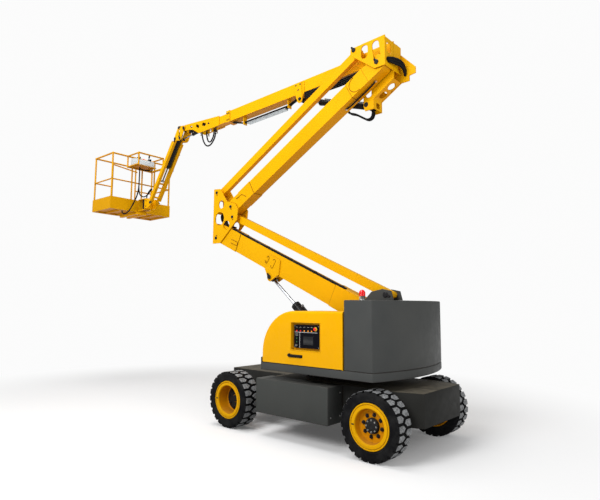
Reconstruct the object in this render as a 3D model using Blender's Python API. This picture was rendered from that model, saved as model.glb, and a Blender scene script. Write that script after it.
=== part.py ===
"""Articulating boom lift on four block-tread wheels, 14 m class, in the pose it is parked in.

Metres, +Z up, +X towards the platform, +Y to the machine's left side. The sizes below are measured
from the rear axle: X from that axle, Y from the centre plane, Z from the floor. At the end the
whole machine is shifted so that the origin is on the floor, under the middle of its box.
"""
import bpy
import bmesh
from math import cos, sin, pi, radians, hypot, atan2
from mathutils import Matrix, Vector

# Clearances and plate stock
SEAT_GAP = 0.0003
MERGE_GAP = SEAT_GAP / 10
RUN_GAP = 0.0008
CLEAR = 0.006
PLATE = 0.015
THIN_PLATE = 0.008
OVERRUN = 0.02
LAP = 0.003

# Facets around round pieces
WHEEL_STEPS = 24
HUB_STEPS = 12
PIN_STEPS = 8
TUBE_STEPS = 6
ARC_STEPS = 5
CURVE_STEPS = 12
SMOOTH_ANGLE = 35

# Chassis
WHEELBASE = 2.15
OVERALL_WIDTH = 1.66
TYRE_RADIUS = 0.355
TYRE_WIDTH = 0.25
LUG_DEPTH = 0.018
LUG_COUNT = 24
RIM_RADIUS = 0.237
RIM_LIP_RADIUS = 0.176
RIM_DEPTH = 0.236
RIM_SKIN = 0.012
WHEEL_Y = OVERALL_WIDTH / 2 - TYRE_WIDTH / 2
WHEEL_PLACES = (
    # name, x, side
    ("rl", 0.0, 1),
    ("rr", 0.0, -1),
    ("fl", WHEELBASE, 1),
    ("fr", WHEELBASE, -1),
)
# Shares of a lug's pitch, of half the tyre's width, of its side wall's height and of the rim's depth
LUG_SHARE = 0.64
SHOULDER_SHARE = 0.93
CENTRE_GROOVE_SHARE = 0.06
BEAD_SHARE = 0.88
SIDEWALL_SHARE = 0.80
REAR_DISC_SHARE = 0.16
FRONT_DISC_SHARE = 0.14
FRONT_NECK_SHARE = 0.38
HUB_FACE_SHARE = 0.33
DECK_TOP = 0.68
DECK_DEPTH = 0.35
REAR_REACH = 0.42
REAR_TAPER = 0.26
REAR_TAPER_INSET = 0.08
TYRE_SIDE_GAP = 0.06
REAR_WIDTH = OVERALL_WIDTH - 2 * TYRE_WIDTH - 2 * TYRE_SIDE_GAP
FRONT_REACH = 0.47
KINGPIN_INSET = 0.205
KINGPIN_Y = OVERALL_WIDTH / 2 - TYRE_WIDTH / 2 - KINGPIN_INSET
KINGPIN_TO_FRAME = 0.20
FRONT_WIDTH = 2 * (KINGPIN_Y - KINGPIN_TO_FRAME)
STEER_ROOM = 0.55
WIDE_FRAME_END = WHEELBASE - STEER_ROOM
SIDE_BOX_REAR_GAP = 0.185
SIDE_BOX_FRONT_GAP = 0.145
SIDE_BOX_START = TYRE_RADIUS + SIDE_BOX_REAR_GAP
SIDE_BOX_END = WHEELBASE - TYRE_RADIUS - SIDE_BOX_FRONT_GAP
SIDE_BOX_HEIGHT = 0.41
SIDE_BOX_INSET = 0.03
SIDE_BOX_FACE = OVERALL_WIDTH / 2 - SIDE_BOX_INSET
AXLE_RADIUS = 0.085
AXLE_STUB = 0.07
AXLE_END_SHARE = 0.97
BEAM_WIDTH_SHARE = 0.8
HUB_RADIUS = 0.078
HUB_FLANGE_RADIUS = 0.125
HUB_NECK_SHARE = 0.72
KINGPIN_RADIUS = 0.045
KINGPIN_HEIGHT = 0.24
SPINDLE_RADIUS = 0.034
SPINDLE_FLANGE_SHARE = 1.6
STEER_ARM = 0.19
STEER_ARM_WIDTH_SHARE = 0.45
TIE_ROD_RADIUS = 0.014
BALL_STUD_SHARE = 0.8

# Turret
SLEW_X = 0.95
SLEW_RADIUS = 0.36
TURRET_INSET = 0.027
TURRET_WIDTH = OVERALL_WIDTH - 2 * TURRET_INSET
TRAY_BOTTOM = 0.79
TRAY_DEPTH = 0.09
TRAY_FRONT = 1.570
TRAY_LIP = 0.06
TAIL_CORNER = -0.035
TAIL_BULGE = 0.155
TAIL_STEPS = 10
HOOD_FRONT = 1.556
HOOD_TOP = 1.505
HOOD_REAR = 0.335
HOOD_INNER_Y = 0.30
HOOD_CORNER = 0.505
RECESS_START = 0.645
RECESS_LENGTH = 0.43
RECESS_BOTTOM = 1.056
RECESS_HEIGHT = 0.315
RECESS_DEPTH = 0.05
WEIGHT_FRONT = 0.320
WEIGHT_TOP = 1.63
BEACON_X = 0.28
BEACON_Y = 0.50
BEACON_RADIUS = 0.038
BEACON_HEIGHT = 0.12
BEACON_SHARES = (
    # share of the radius, share of the height
    (0.85, 0.0), (0.85, 0.4), (1.0, 0.4), (1.0, 0.65), (0.8, 0.9),
)
STAND_MARGIN = 0.075
STAND_SHARES = (
    # place, shares of the margin from it along X and along Z
    ("rear_foot", 0, 0), ("front_foot", 2, 0), ("cylinder", 1, 1), ("cylinder", -1, 1), ("riser", 2, -1),
    ("riser", 1, 1), ("crank", 1, 0.5), ("tie", 0.5, 0.9), ("tie", -1, 0.6), ("tail", -1.4, 0),
    ("step", 0, 0),
)

# Risers and their ties, in the centre plane
RISER_PIVOT_X = 0.595
RISER_PIVOT_Z = 1.403
LOWER_ANGLE = 24.3
LOWER_LENGTH = 2.979
LOWER_HEIGHT = 0.278
LOWER_AXIS_RISE = 0.10
LOWER_TIE_DX = -0.379
LOWER_TIE_DZ = 0.297
LOWER_TIE_HEIGHT = 0.107
RISER_WIDTH = 0.17
TIE_WIDTH = 0.068
COLLAR = 0.006
COLLAR_LENGTH = 0.50
KNUCKLE_DX = -0.336
KNUCKLE_DZ = 0.465
UPPER_ANGLE = 29.2
UPPER_LENGTH = 3.064
UPPER_HEIGHT = 0.221
UPPER_TIE_DX = 0.340
UPPER_TIE_DZ = 0.270
UPPER_TIE_HEIGHT = 0.116
PLATE_Y = 0.112
PIN_RADIUS = 0.026
JIB_PIN_RADIUS = 0.021
LEVEL_PIN_RADIUS = 0.016
PIN_HEAD = 0.012
BOSS_WALL = 0.016
BOSS_REACH = PLATE_Y - PLATE - SEAT_GAP
RISER_CAP_SHARES = (
    # share of the end's radius, shares of the heights below and above the line of the pins
    (0.2, 1.0, 0.0), (0.85, 0.6, 0.0), (1.0, 0.0, 0.0), (0.95, 0.0, 0.35), (0.0, 0.0, 1.0),
)

# The lower knuckle: its reach from the lower riser's pin, and its outline and holes
KNUCKLE_BACK = 0.50
KNUCKLE_FRONT = 0.077
KNUCKLE_FOOT = 0.089
KNUCKLE_HEAD = 0.800
KNUCKLE_SHARES = (
    # share of the depth from the back edge, share of the height from the foot
    (0.997, 1.0), (0.745, 0.987), (0.456, 0.737), (0.114, 0.661), (0.0, 0.56), (0.031, 0.371),
    (0.693, 0.0), (1.0, 0.004),
)
KNUCKLE_HOLE_SHARES = (
    # share of the depth, share of the height, share of the depth that is the hole's radius
    (0.671, 0.696, 0.055), (0.73, 0.442, 0.115), (0.447, 0.307, 0.065),
)
KNUCKLE_WEB_SHARES = (0.35, 0.82)

# The top knuckle, in shares of the way from the riser's pin to the tie's or to the cylinder's pin
TOP_SHARES = (
    # near plate, to the tie's pin: along X, along Z
    (-0.36, 1.18), (0.60, 1.14), (1.14, 1.10), (1.16, 0.80), (0.10, -0.26), (-0.36, -0.26),
)
TOP_WEB_SHARES = (-0.26, 1.12)
TOP_SLOT_SHARES = ((0.06, 0.62), (0.06, 0.86), (0.52, 0.66), (0.52, 0.88))
TOP_SLOT_RADIUS_SHARE = 0.13
TAIL_SHARES = (
    # tail, to the cylinder's pin: along X, along Z
    (1.12, 0.30), (1.13, 1.04), (1.05, 1.20), (0.60, 1.20), (0.60, 0.86), (-0.40, 0.42),
)
FAR_REAR_SHARES = (
    # the far plate's rear lobe, in the same shares as the tail
    (-0.80, 0.42), (-0.80, 0.25), (-1.10, 0.22), (-1.10, 0.02), (-0.34, -0.56), (-0.22, -0.90),
    (0.60, -0.78), (0.80, -0.20),
)

# Riser cylinder, from the turret to a bracket under the lower riser
RISER_CYLINDER_X = 1.10
RISER_CYLINDER_Z = 1.05
RISER_BRACKET_S = 1.623
RISER_BRACKET_H = -0.111
RISER_BRACKET_REACH = 0.058
RISER_EYE_DROP = 0.034
RISER_BARREL = 0.81
RISER_BARREL_RADIUS = 0.052
RISER_ROD_RADIUS = 0.021
RISER_ROD_INSIDE = 0.49
GLAND_SHARE = 1.14
EYE_SHARE = 1.25
RISER_EAR_SHARES = (
    # share of the reach along the riser from the pin, level, share of that level's size
    (-2.6, "foot", 0.4), (-1.0, "pin", -0.4), (-0.5, "pin", -1.0), (0.3, "pin", -0.95), (0.8, "pin", -0.2),
    (2.4, "skin", -1.0), (2.4, "top", 0.75), (-1.6, "top", 0.75),
)

# Main boom, to the right of the risers
BOOM_Y = -0.204
BOOM_ANGLE = -1.5
BOOM_WIDTH = 0.157
BOOM_HEIGHT = 0.181
BOOM_PIVOT_DX = -0.019
BOOM_PIVOT_DZ = 0.210
BOOM_LENGTH = 3.12
BOOM_CYLINDER_DX = 0.294
BOOM_CYLINDER_DZ = -0.409
BOOM_BRACKET_S = 1.474
BOOM_BRACKET_H = -0.180
BOOM_BARREL = 0.89
BOOM_BARREL_RADIUS = 0.038
BOOM_ROD_RADIUS = 0.018
BOOM_ROD_INSIDE = 0.722
FRONT_COLLAR = 0.09
INNER_WIDTH = 0.120
INNER_HEIGHT = 0.142
INNER_INSIDE = 2.70
POCKET_DEPTH = 2.85
BOOM_EAR_REACH = 0.039
BOOM_EAR_SHARES = (
    # share of the reach along the boom from the pin, level, share of that level's size
    (-2.0, "side", 0.7), (-2.0, "under", -1.0), (-1.0, "pin", 0.0), (-0.6, "pin", -0.8), (0.6, "pin", -0.8),
    (1.0, "pin", 0.0), (1.6, "under", -1.0), (1.6, "side", 0.7),
)
HANGER_SHARES = (0.125, 0.44)
HANGER_DROP_SHARE = 2.4
HANGER_SIDE_SHARES = (-0.4, 0.55)
CARRIER_RADIUS = 0.02
CARRIER_DROP_SHARE = 0.8

# Boom head, jib and platform
HEAD_START = 0.20
HEAD_PLATE_Y = 0.072
HEAD_FOOT_SHARE = -0.46
HEAD_SHARES = (
    # share of the way from the head's start to the tip pin, share of the boom's height
    (0.0, 0.47), (0.97, 0.97), (1.04, 0.90), (1.05, 0.60), (1.02, 0.38), (0.90, 0.34), (0.74, 0.14),
    (0.57, -0.44), (0.52, HEAD_FOOT_SHARE), (0.0, HEAD_FOOT_SHARE),
)
HEAD_HOLE_SHARES = (
    # share of the way, share of the boom's height, share of the boom's height that is the radius
    (0.80, 0.55, 0.10), (0.62, 0.38, 0.17), (0.44, 0.28, 0.19), (0.30, 0.18, 0.07),
)
HEAD_LAP_SHARE = 0.15
TIP_S = 4.304
TIP_H = 0.122
LINK_PLATE_Y = 0.0885
LINK_PLATE = 0.012
LINK_UPPER_DX = 0.145
LINK_UPPER_DZ = 0.033
LINK_LEVEL_DX = 0.111
LINK_LEVEL_DZ = -0.170
LINK_ARM_DX = 0.255
LINK_ARM_DZ = -0.152
LINK_MARGIN = 0.042
LINK_SHARES = (
    # pin, shares of the margin from it along X and along Z
    ("tip", -1, 0.4), ("tip", -0.4, 1), ("upper", 0.4, 0.9), ("upper", 1, 0), ("arm", 1, 0),
    ("arm", 0.5, -0.8), ("level", 0.2, -1), ("level", -0.8, -0.5),
)
JIB_ANGLE = -55.6
JIB_LENGTH = 1.344
JIB_TUBE_Y = 0.085
JIB_TUBE_WIDTH = 0.052
JIB_TUBE_DEPTH = 0.076
JIB_TUBE_START = 0.063
JIB_EAR_INNER = 0.054
JIB_EAR_SHARE = 0.8
JIB_EYE_S = 0.871
JIB_BAR_SHARE = 0.7
JIB_BAR_GAP = 0.02
JIB_BARREL = 0.80
JIB_BARREL_RADIUS = 0.031
JIB_ROD_RADIUS = 0.015
JIB_ROD_INSIDE = 0.55
LEVEL_BASE_S = 3.78
LEVEL_BASE_H = 0.010
LEVEL_BARREL = 0.36
LEVEL_BARREL_RADIUS = 0.026
LEVEL_ROD_RADIUS = 0.012
LEVEL_ROD_INSIDE = 0.04
ROTATOR_DX = 0.27
ROTATOR_RADIUS = 0.07
ROTATOR_HEIGHT = 0.20
ROTATOR_DZ = -0.004
MOUNT_SHARES = (
    # place, shares of the link's margin from it along X and along Z
    ("pin", -1, -0.6), ("pin", -0.3, -1), ("low", 1.5, 0), ("front_low", 0, 0), ("front_top", 0, 0),
    ("top", 1.5, 0), ("pin", 0.2, 1), ("pin", -1, 0.4),
)
BASKET_REAR_DX = 0.445
BASKET_LENGTH = 0.71
BASKET_WIDTH = 1.34
BASKET_DROP = 0.144
BASKET_RAIL_HEIGHT = 1.10
BASKET_MID_HEIGHT = 0.59
TOE_HEIGHT = 0.24
RAIL_RADIUS = 0.017
FLOOR_BAR = 0.03
FLOOR_BAR_COUNT = 6
FLOOR_SKIN = 0.006
FLOOR_PANEL = 0.004
BRACKET_WIDTH_SHARE = 1.1
BEAM_DEPTH_SHARE = 1.4
BEAM_LENGTH_SHARE = 0.9
CONSOLE_REACH = 0.40
CONSOLE_SLOPE = 0.02
TRAY_LIFT = 0.02
# Shares of the rail's radius, for thinner bars
POST_SHARE = 0.9
MID_RAIL_SHARE = 0.8
STAY_SHARE = 0.7
# Shares of the width inside the rails, from the machine's left side
REAR_POST_SHARES = (0.326, 0.50, 0.72)
GATE_POST_SHARES = (0.284, 0.69)
GUARD_SHARES = (0.246, 0.67)
TRAY_SIDE_SHARES = (0.26, 0.60)
TRAY_STAY_SHARES = (0.30, 0.56)
CONSOLE_SIDE_SHARES = (0.28, 0.58)
# Shares of the rail's height, of the console's reach and of the height from its tray to the top rail
GUARD_DROP_SHARE = 0.2
TRAY_REACH_SHARE = 0.77
CONSOLE_REACH_SHARE = 0.72
CONSOLE_FACE_SHARES = (0.55, 0.75)
GATE_SLOPE = 0.11

# Hoses: their own routes, between the places where their ends stand on what holds them
HOSE_RADIUS = 0.010
HOSE_STEP_SHARE = 5
CABLE_SHARE = 0.8
HEAD_HOSE_ROUTES = (
    # name, side of the boom, route in s and h of the boom between its first and last places
    ("hose_head_left", 1, ((3.82, -0.14), (3.82, -0.20), (3.79, -0.27), (3.72, -0.34), (3.62, -0.31),
                           (3.55, -0.22), (3.55, -0.14))),
    ("hose_head_right", -1, ((3.76, -0.14), (3.76, -0.18), (3.73, -0.24), (3.67, -0.29), (3.60, -0.26),
                             (3.53, -0.19), (3.53, -0.14))),
)
KNUCKLE_HOSE_ROUTE = (
    # s and h of the upper riser, h under it
    (2.38, -0.16), (2.39, -0.19), (2.46, -0.25), (2.60, -0.31), (2.76, -0.33), (2.86, -0.28), (2.90, -0.21),
    (2.90, -0.16),
)
CABLE_ROUTE = (
    # from the basket's rear edge, the jib's centre plane and the floor
    (-0.135, 0.155, 0.84), (-0.135, 0.156, 0.62), (-0.130, 0.160, 0.45), (-0.105, 0.185, 0.28),
    (-0.05, 0.26, 0.06), (-0.022, 0.32, -0.04), (0.002, 0.38, -0.075), (0.015, 0.41, -0.03),
)

COLOURS = {
    "yellow": ((0.90, 0.46, 0.0), 0.35, 0.0),
    "grey": ((0.075, 0.078, 0.080), 0.5, 0.0),
    "dark": ((0.018, 0.018, 0.020), 0.5, 0.0),
    "rubber": ((0.012, 0.012, 0.012), 0.8, 0.0),
    "chrome": ((0.62, 0.62, 0.62), 0.15, 1.0),
    "red": ((0.65, 0.02, 0.02), 0.25, 0.0),
    "console": ((0.55, 0.58, 0.60), 0.45, 0.0),
}


# Places worked out from the driving sizes
def polar(start, angle, length):
    """The point at a length from a start point, in the XZ plane."""
    return (start[0] + length * cos(radians(angle)), start[1] + length * sin(radians(angle)))


def offset(start, dx, dz):
    return (start[0] + dx, start[1] + dz)


RISER_PIVOT = (RISER_PIVOT_X, RISER_PIVOT_Z)
TIE_PIVOT = offset(RISER_PIVOT, LOWER_TIE_DX, LOWER_TIE_DZ)
KNUCKLE_LOW = polar(RISER_PIVOT, LOWER_ANGLE, LOWER_LENGTH)
KNUCKLE_TIE = offset(KNUCKLE_LOW, LOWER_TIE_DX, LOWER_TIE_DZ)
UPPER_PIVOT = offset(KNUCKLE_LOW, KNUCKLE_DX, KNUCKLE_DZ)
UPPER_TIE_PIVOT = offset(UPPER_PIVOT, UPPER_TIE_DX, UPPER_TIE_DZ)
TOP_PIVOT = polar(UPPER_PIVOT, 180 - UPPER_ANGLE, UPPER_LENGTH)
TOP_TIE = offset(TOP_PIVOT, UPPER_TIE_DX, UPPER_TIE_DZ)
BOOM_PIVOT = offset(TOP_PIVOT, BOOM_PIVOT_DX, BOOM_PIVOT_DZ)
BOOM_CYLINDER_BASE = offset(TOP_PIVOT, BOOM_CYLINDER_DX, BOOM_CYLINDER_DZ)
RISER_CYLINDER_BASE = (RISER_CYLINDER_X, RISER_CYLINDER_Z)
HALF_TURRET = TURRET_WIDTH / 2
TRAY_TOP = TRAY_BOTTOM + TRAY_DEPTH


class Link:
    """A straight member in an XZ plane: s runs along it from its first pin, h stands square to it."""

    def __init__(self, start, angle):
        self.start = start
        self.angle = angle
        self.along = (cos(radians(angle)), sin(radians(angle)))

    def at(self, s, h=0.0):
        ux, uz = self.along
        return (self.start[0] + s * ux - h * uz, self.start[1] + s * uz + h * ux)

    def points(self, pairs):
        return [self.at(s, h) for s, h in pairs]


LOWER_RISER = Link(RISER_PIVOT, LOWER_ANGLE)
LOWER_TIE = Link(TIE_PIVOT, LOWER_ANGLE)
UPPER_RISER = Link(UPPER_PIVOT, 180 - UPPER_ANGLE)
UPPER_TIE = Link(UPPER_TIE_PIVOT, 180 - UPPER_ANGLE)
BOOM = Link(BOOM_PIVOT, BOOM_ANGLE)
RISER_BRACKET_PIN = LOWER_RISER.at(RISER_BRACKET_S, RISER_BRACKET_H)
RISER_EYE = LOWER_RISER.at(RISER_BRACKET_S, RISER_BRACKET_H - RISER_EYE_DROP)
BOOM_EYE = BOOM.at(BOOM_BRACKET_S, BOOM_BRACKET_H)
TIP = BOOM.at(TIP_S, TIP_H)
LINK_UPPER = offset(TIP, LINK_UPPER_DX, LINK_UPPER_DZ)
LINK_LEVEL = offset(TIP, LINK_LEVEL_DX, LINK_LEVEL_DZ)
LINK_ARM = offset(TIP, LINK_ARM_DX, LINK_ARM_DZ)
JIB = Link(LINK_ARM, JIB_ANGLE)
JIB_EYE = JIB.at(JIB_EYE_S)
MOUNT_PIN = JIB.at(JIB_LENGTH)
LEVEL_BASE = BOOM.at(LEVEL_BASE_S, LEVEL_BASE_H)
ROTATOR_X = MOUNT_PIN[0] + ROTATOR_DX
BASKET_REAR = MOUNT_PIN[0] + BASKET_REAR_DX
BASKET_FLOOR = MOUNT_PIN[1] - BASKET_DROP


def link_between(start, end):
    return Link(start, atan2(end[1] - start[1], end[0] - start[0]) * 180 / pi)


def span(start, end):
    return hypot(end[0] - start[0], end[1] - start[1])


def corners_near(places, shares, margin):
    """A plate's corners, each at shares of a margin from a named place."""
    return [offset(places[name], a * margin, b * margin) for name, a, b in shares]


def ear_points(pin_s, reach, levels, shares):
    """A bracket plate's corners in s and h: a level holds its own height and the size that is shared."""
    return [(pin_s + a * reach, levels[name][0] + b * levels[name][1]) for a, name, b in shares]


# Shapes, each made as a bmesh in the machine's own places
def closed(bm):
    bmesh.ops.remove_doubles(bm, verts=bm.verts, dist=MERGE_GAP)
    bmesh.ops.recalc_face_normals(bm, faces=bm.faces)
    return bm


def loft(rings):
    """A closed solid through rings of the same number of points, capped at both ends."""
    bm = bmesh.new()
    made = [[bm.verts.new(p) for p in ring] for ring in rings]
    for low, high in zip(made, made[1:]):
        for i in range(len(low)):
            j = (i + 1) % len(low)
            bm.faces.new((low[i], low[j], high[j], high[i]))
    bm.faces.new(made[0])
    bm.faces.new(made[-1])
    return closed(bm)


def prism(outline, y0, y1):
    """An outline in XZ, as thick as from y0 to y1."""
    return loft([[(x, y, z) for x, z in outline] for y in (y0, y1)])


def plan_prism(outline, z0, z1):
    return loft([[(x, y, z) for x, y in outline] for z in (z0, z1)])


def box(x0, x1, y0, y1, z0, z1):
    return plan_prism(((x0, y0), (x1, y0), (x1, y1), (x0, y1)), z0, z1)


def ring_points(centre, axis, radius, steps):
    axis = Vector(axis).normalized()
    side = axis.orthogonal().normalized()
    if abs(axis.y) > max(abs(axis.x), abs(axis.z)):
        side = Vector((1, 0, 0))
    other = axis.cross(side)
    turn = [2 * pi * i / steps for i in range(steps)]
    return [Vector(centre) + radius * (cos(t) * side + sin(t) * other) for t in turn]


def bar(start, end, radius, steps=TUBE_STEPS):
    """A round bar between two points."""
    start, end = Vector(start), Vector(end)
    axis = end - start
    return loft([ring_points(p, axis, radius, steps) for p in (start, end)])


def cross_pin(centre, radius, y0, y1, steps=PIN_STEPS):
    """A round pin along Y at a place in XZ."""
    return bar((centre[0], y0, centre[1]), (centre[0], y1, centre[1]), radius, steps)


def turned(profile, centre, side=1, steps=WHEEL_STEPS):
    """A turned ring about Y: the profile holds radius and reach outwards, side +1 for the left."""
    bm = bmesh.new()
    rows = []
    for i in range(steps):
        t = 2 * pi * i / steps
        rows.append([bm.verts.new((centre[0] + r * cos(t), centre[1] + side * a, centre[2] + r * sin(t)))
                     for r, a in profile])
    for i in range(steps):
        j = (i + 1) % steps
        for k in range(len(profile)):
            m = (k + 1) % len(profile)
            if profile[k][0] == 0 and profile[m][0] == 0:
                continue
            bm.faces.new((rows[i][k], rows[i][m], rows[j][m], rows[j][k]))
    bmesh.ops.remove_doubles(bm, verts=bm.verts, dist=MERGE_GAP)
    empty = [f for f in bm.faces if f.calc_area() < MERGE_GAP ** 2]
    bmesh.ops.delete(bm, geom=empty, context="FACES")
    return closed(bm)


def upright(profile, x, y, steps=WHEEL_STEPS):
    """A turned solid about Z: the profile holds radius and height, first and last on the axis."""
    bm = bmesh.new()
    low = bm.verts.new((x, y, profile[0][1]))
    high = bm.verts.new((x, y, profile[-1][1]))
    rings = [[bm.verts.new((x + r * cos(2 * pi * i / steps), y + r * sin(2 * pi * i / steps), z))
              for i in range(steps)] for r, z in profile[1:-1]]
    for i in range(steps):
        j = (i + 1) % steps
        bm.faces.new((low, rings[0][j], rings[0][i]))
        bm.faces.new((high, rings[-1][i], rings[-1][j]))
        for a, b in zip(rings, rings[1:]):
            bm.faces.new((a[i], a[j], b[j], b[i]))
    return closed(bm)


def plate_pin(centre):
    """A pin from one of a pair of plates to the other."""
    reach = PLATE_Y - PLATE + LAP
    return cross_pin(centre, PIN_RADIUS, -reach, reach)


def bore(centre, radius, y0, y1):
    """A hole for a pin, wide enough for the pin's corners to turn in."""
    return cross_pin(centre, (radius + RUN_GAP) / cos(pi / PIN_STEPS), y0 - OVERRUN, y1 + OVERRUN)


def round_end(s, radius):
    """Half a round, in s and h, about a place on a member's line of pins."""
    steps = ARC_STEPS + 1
    turns = [radians(-90 + 180 * i / steps) for i in range(steps + 1)]
    return [(s + radius * cos(t), radius * sin(t)) for t in turns]


# Objects and bodies
materials = {}
bodies = {}


def material(name):
    if name not in materials:
        colour, roughness, metallic = COLOURS[name]
        made = bpy.data.materials.new(name)
        made.use_nodes = True
        shader = made.node_tree.nodes["Principled BSDF"]
        shader.inputs["Base Color"].default_value = (*colour, 1)
        shader.inputs["Roughness"].default_value = roughness
        shader.inputs["Metallic"].default_value = metallic
        materials[name] = made
    return materials[name].copy()


def start_body(name, pivot, parent=None):
    """An empty on the body's joint axis, which carries the body's objects."""
    empty = bpy.data.objects.new("body_" + name, None)
    bpy.context.scene.collection.objects.link(empty)
    bodies[name] = (empty, Vector(pivot))
    if parent:
        empty.parent = bodies[parent][0]
        empty.location = Vector(pivot) - bodies[parent][1]
    else:
        empty.location = pivot


def as_object(name, bm):
    mesh = bpy.data.meshes.new(name)
    bm.to_mesh(mesh)
    bm.free()
    made = bpy.data.objects.new(name, mesh)
    bpy.context.scene.collection.objects.link(made)
    return made


def fuse(name, body, colour, adds, cuts=()):
    """One solid node from the shapes it is welded from and the holes cut in it."""
    made = as_object(name, adds[0])
    tools = []
    for operation, shapes in (("UNION", adds[1:]), ("DIFFERENCE", cuts)):
        if not shapes:
            continue
        group = bpy.data.collections.new(name + "_" + operation.lower())
        for shape in shapes:
            tool = as_object(name + "_tool", shape)
            tools.append(tool)
            group.objects.link(tool)
        step = made.modifiers.new(operation, "BOOLEAN")
        step.operation = operation
        step.operand_type = "COLLECTION"
        step.solver = "EXACT"
        step.collection = group
    if tools:
        graph = bpy.context.evaluated_depsgraph_get()
        mesh = bpy.data.meshes.new_from_object(made.evaluated_get(graph))
        made.modifiers.clear()
        made.data = mesh
        for tool in tools:
            bpy.data.objects.remove(tool)
        for group in list(bpy.data.collections):
            bpy.data.collections.remove(group)
    mesh = made.data
    mesh.name = name
    mesh.materials.clear()
    mesh.materials.append(material(colour))
    mesh.shade_smooth()
    mesh.set_sharp_from_angle(angle=radians(SMOOTH_ANGLE))
    empty, pivot = bodies[body]
    mesh.transform(Matrix.Translation(-pivot))
    made.parent = empty
    return made


def clear_scene():
    for old in list(bpy.data.objects):
        bpy.data.objects.remove(old, do_unlink=True)


# Wheels
def tyre(name, x, side):
    """A block-tread tyre: the lugs of one row stand half a pitch ahead of the other row's."""
    half = TYRE_WIDTH / 2
    base = TYRE_RADIUS - LUG_DEPTH
    pitch = 2 * pi / LUG_COUNT
    bead = (RIM_RADIUS + SEAT_GAP) / cos(LUG_SHARE * pitch / 2)
    wall = bead + SIDEWALL_SHARE * (base - bead)
    profile = (
        # radius, reach, share of half a pitch that the row is turned by
        (bead, -BEAD_SHARE * half, 0),
        (wall, -half, 0),
        (base, -SHOULDER_SHARE * half, 0),
        (base, -CENTRE_GROOVE_SHARE * half, 0),
        (base, CENTRE_GROOVE_SHARE * half, 1),
        (base, SHOULDER_SHARE * half, 1),
        (wall, half, 1),
        (bead, BEAD_SHARE * half, 1),
    )
    bm = bmesh.new()
    rows = []
    for lug in range(LUG_COUNT):
        for share in (0.0, LUG_SHARE):
            row = []
            for r, a, turn in profile:
                t = pitch * (lug + share + turn / 2)
                row.append(bm.verts.new((x + r * cos(t), side * (WHEEL_Y + a), TYRE_RADIUS + r * sin(t))))
            rows.append(row)
    count = len(profile)
    lugs = []
    for i in range(len(rows)):
        j = (i + 1) % len(rows)
        faces = []
        for k in range(count):
            m = (k + 1) % count
            faces.append(bm.faces.new((rows[i][k], rows[i][m], rows[j][m], rows[j][k])))
        if i % 2 == 0:
            lugs.append((faces[1], faces[2]))
            lugs.append((faces[4], faces[5]))
    bmesh.ops.recalc_face_normals(bm, faces=bm.faces)
    axis = Vector((x, 0, TYRE_RADIUS))
    for pair in lugs:
        out = bmesh.ops.extrude_face_region(bm, geom=list(pair))
        bmesh.ops.delete(bm, geom=list(pair), context="FACES")
        for v in [g for g in out["geom"] if isinstance(g, bmesh.types.BMVert)]:
            arm = Vector((v.co.x, 0, v.co.z)) - axis
            reach = arm.length
            if reach > (wall + base) / 2:
                arm *= TYRE_RADIUS / reach
                v.co.x, v.co.z = axis.x + arm.x, axis.z + arm.z
            else:
                arm *= (wall + LUG_DEPTH / 2) / reach
                v.co.x, v.co.z = axis.x + arm.x, axis.z + arm.z
    return fuse("tyre_" + name, "wheel_" + name, "rubber", [closed(bm)])


def rear_rim_profile():
    half = RIM_DEPTH / 2
    disc = REAR_DISC_SHARE * RIM_DEPTH
    hub = (HUB_RADIUS + SEAT_GAP) / cos(pi / WHEEL_STEPS)
    return ((RIM_RADIUS, half), (RIM_LIP_RADIUS, half), (RIM_LIP_RADIUS - RIM_SKIN, disc), (hub, disc),
            (hub, disc - RIM_SKIN), (RIM_LIP_RADIUS, disc - RIM_SKIN), (RIM_RADIUS - RIM_SKIN, -half),
            (RIM_RADIUS, -half))


def front_rim_profile():
    half = RIM_DEPTH / 2
    disc = -FRONT_DISC_SHARE * RIM_DEPTH
    inner = -FRONT_NECK_SHARE * RIM_DEPTH
    socket = SPINDLE_RADIUS + RUN_GAP * 2
    cap = socket + RIM_SKIN
    return ((0, disc + RIM_SKIN), (cap, disc + RIM_SKIN), (cap + RIM_SKIN, disc),
            (RIM_LIP_RADIUS - RIM_SKIN, disc), (RIM_LIP_RADIUS, half), (RIM_RADIUS, half),
            (RIM_RADIUS, -half), (RIM_LIP_RADIUS, disc - RIM_SKIN), (cap, disc - RIM_SKIN), (cap, inner),
            (socket, inner), (socket, disc), (0, disc))


def hub_profile():
    """The planetary hub: a drum through the disc, a bolting flange behind it and a neck inboard."""
    face = HUB_FACE_SHARE * RIM_DEPTH
    flange = REAR_DISC_SHARE * RIM_DEPTH - RIM_SKIN - SEAT_GAP
    neck = HUB_NECK_SHARE * HUB_FLANGE_RADIUS
    end = -(WHEEL_Y - REAR_WIDTH / 2 - AXLE_STUB)
    return ((0, face), (HUB_RADIUS - RIM_SKIN, face), (HUB_RADIUS, face - RIM_SKIN), (HUB_RADIUS, flange),
            (HUB_FLANGE_RADIUS, flange), (HUB_FLANGE_RADIUS, flange - 2 * RIM_SKIN),
            (neck, flange - 2 * RIM_SKIN), (neck, end), (0, end))


def wheels():
    for name, x, side in WHEEL_PLACES:
        centre = (x, side * WHEEL_Y, TYRE_RADIUS)
        rear = x == 0
        start_body("wheel_" + name, centre, "chassis" if rear else "knuckle_" + name)
        tyre(name, x, side)
        profile = rear_rim_profile() if rear else front_rim_profile()
        fuse("rim_" + name, "wheel_" + name, "yellow", [turned(profile, centre, side)])
        if rear:
            fuse("hub_" + name, "wheel_" + name, "dark", [turned(hub_profile(), centre, side, HUB_STEPS)])


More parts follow.
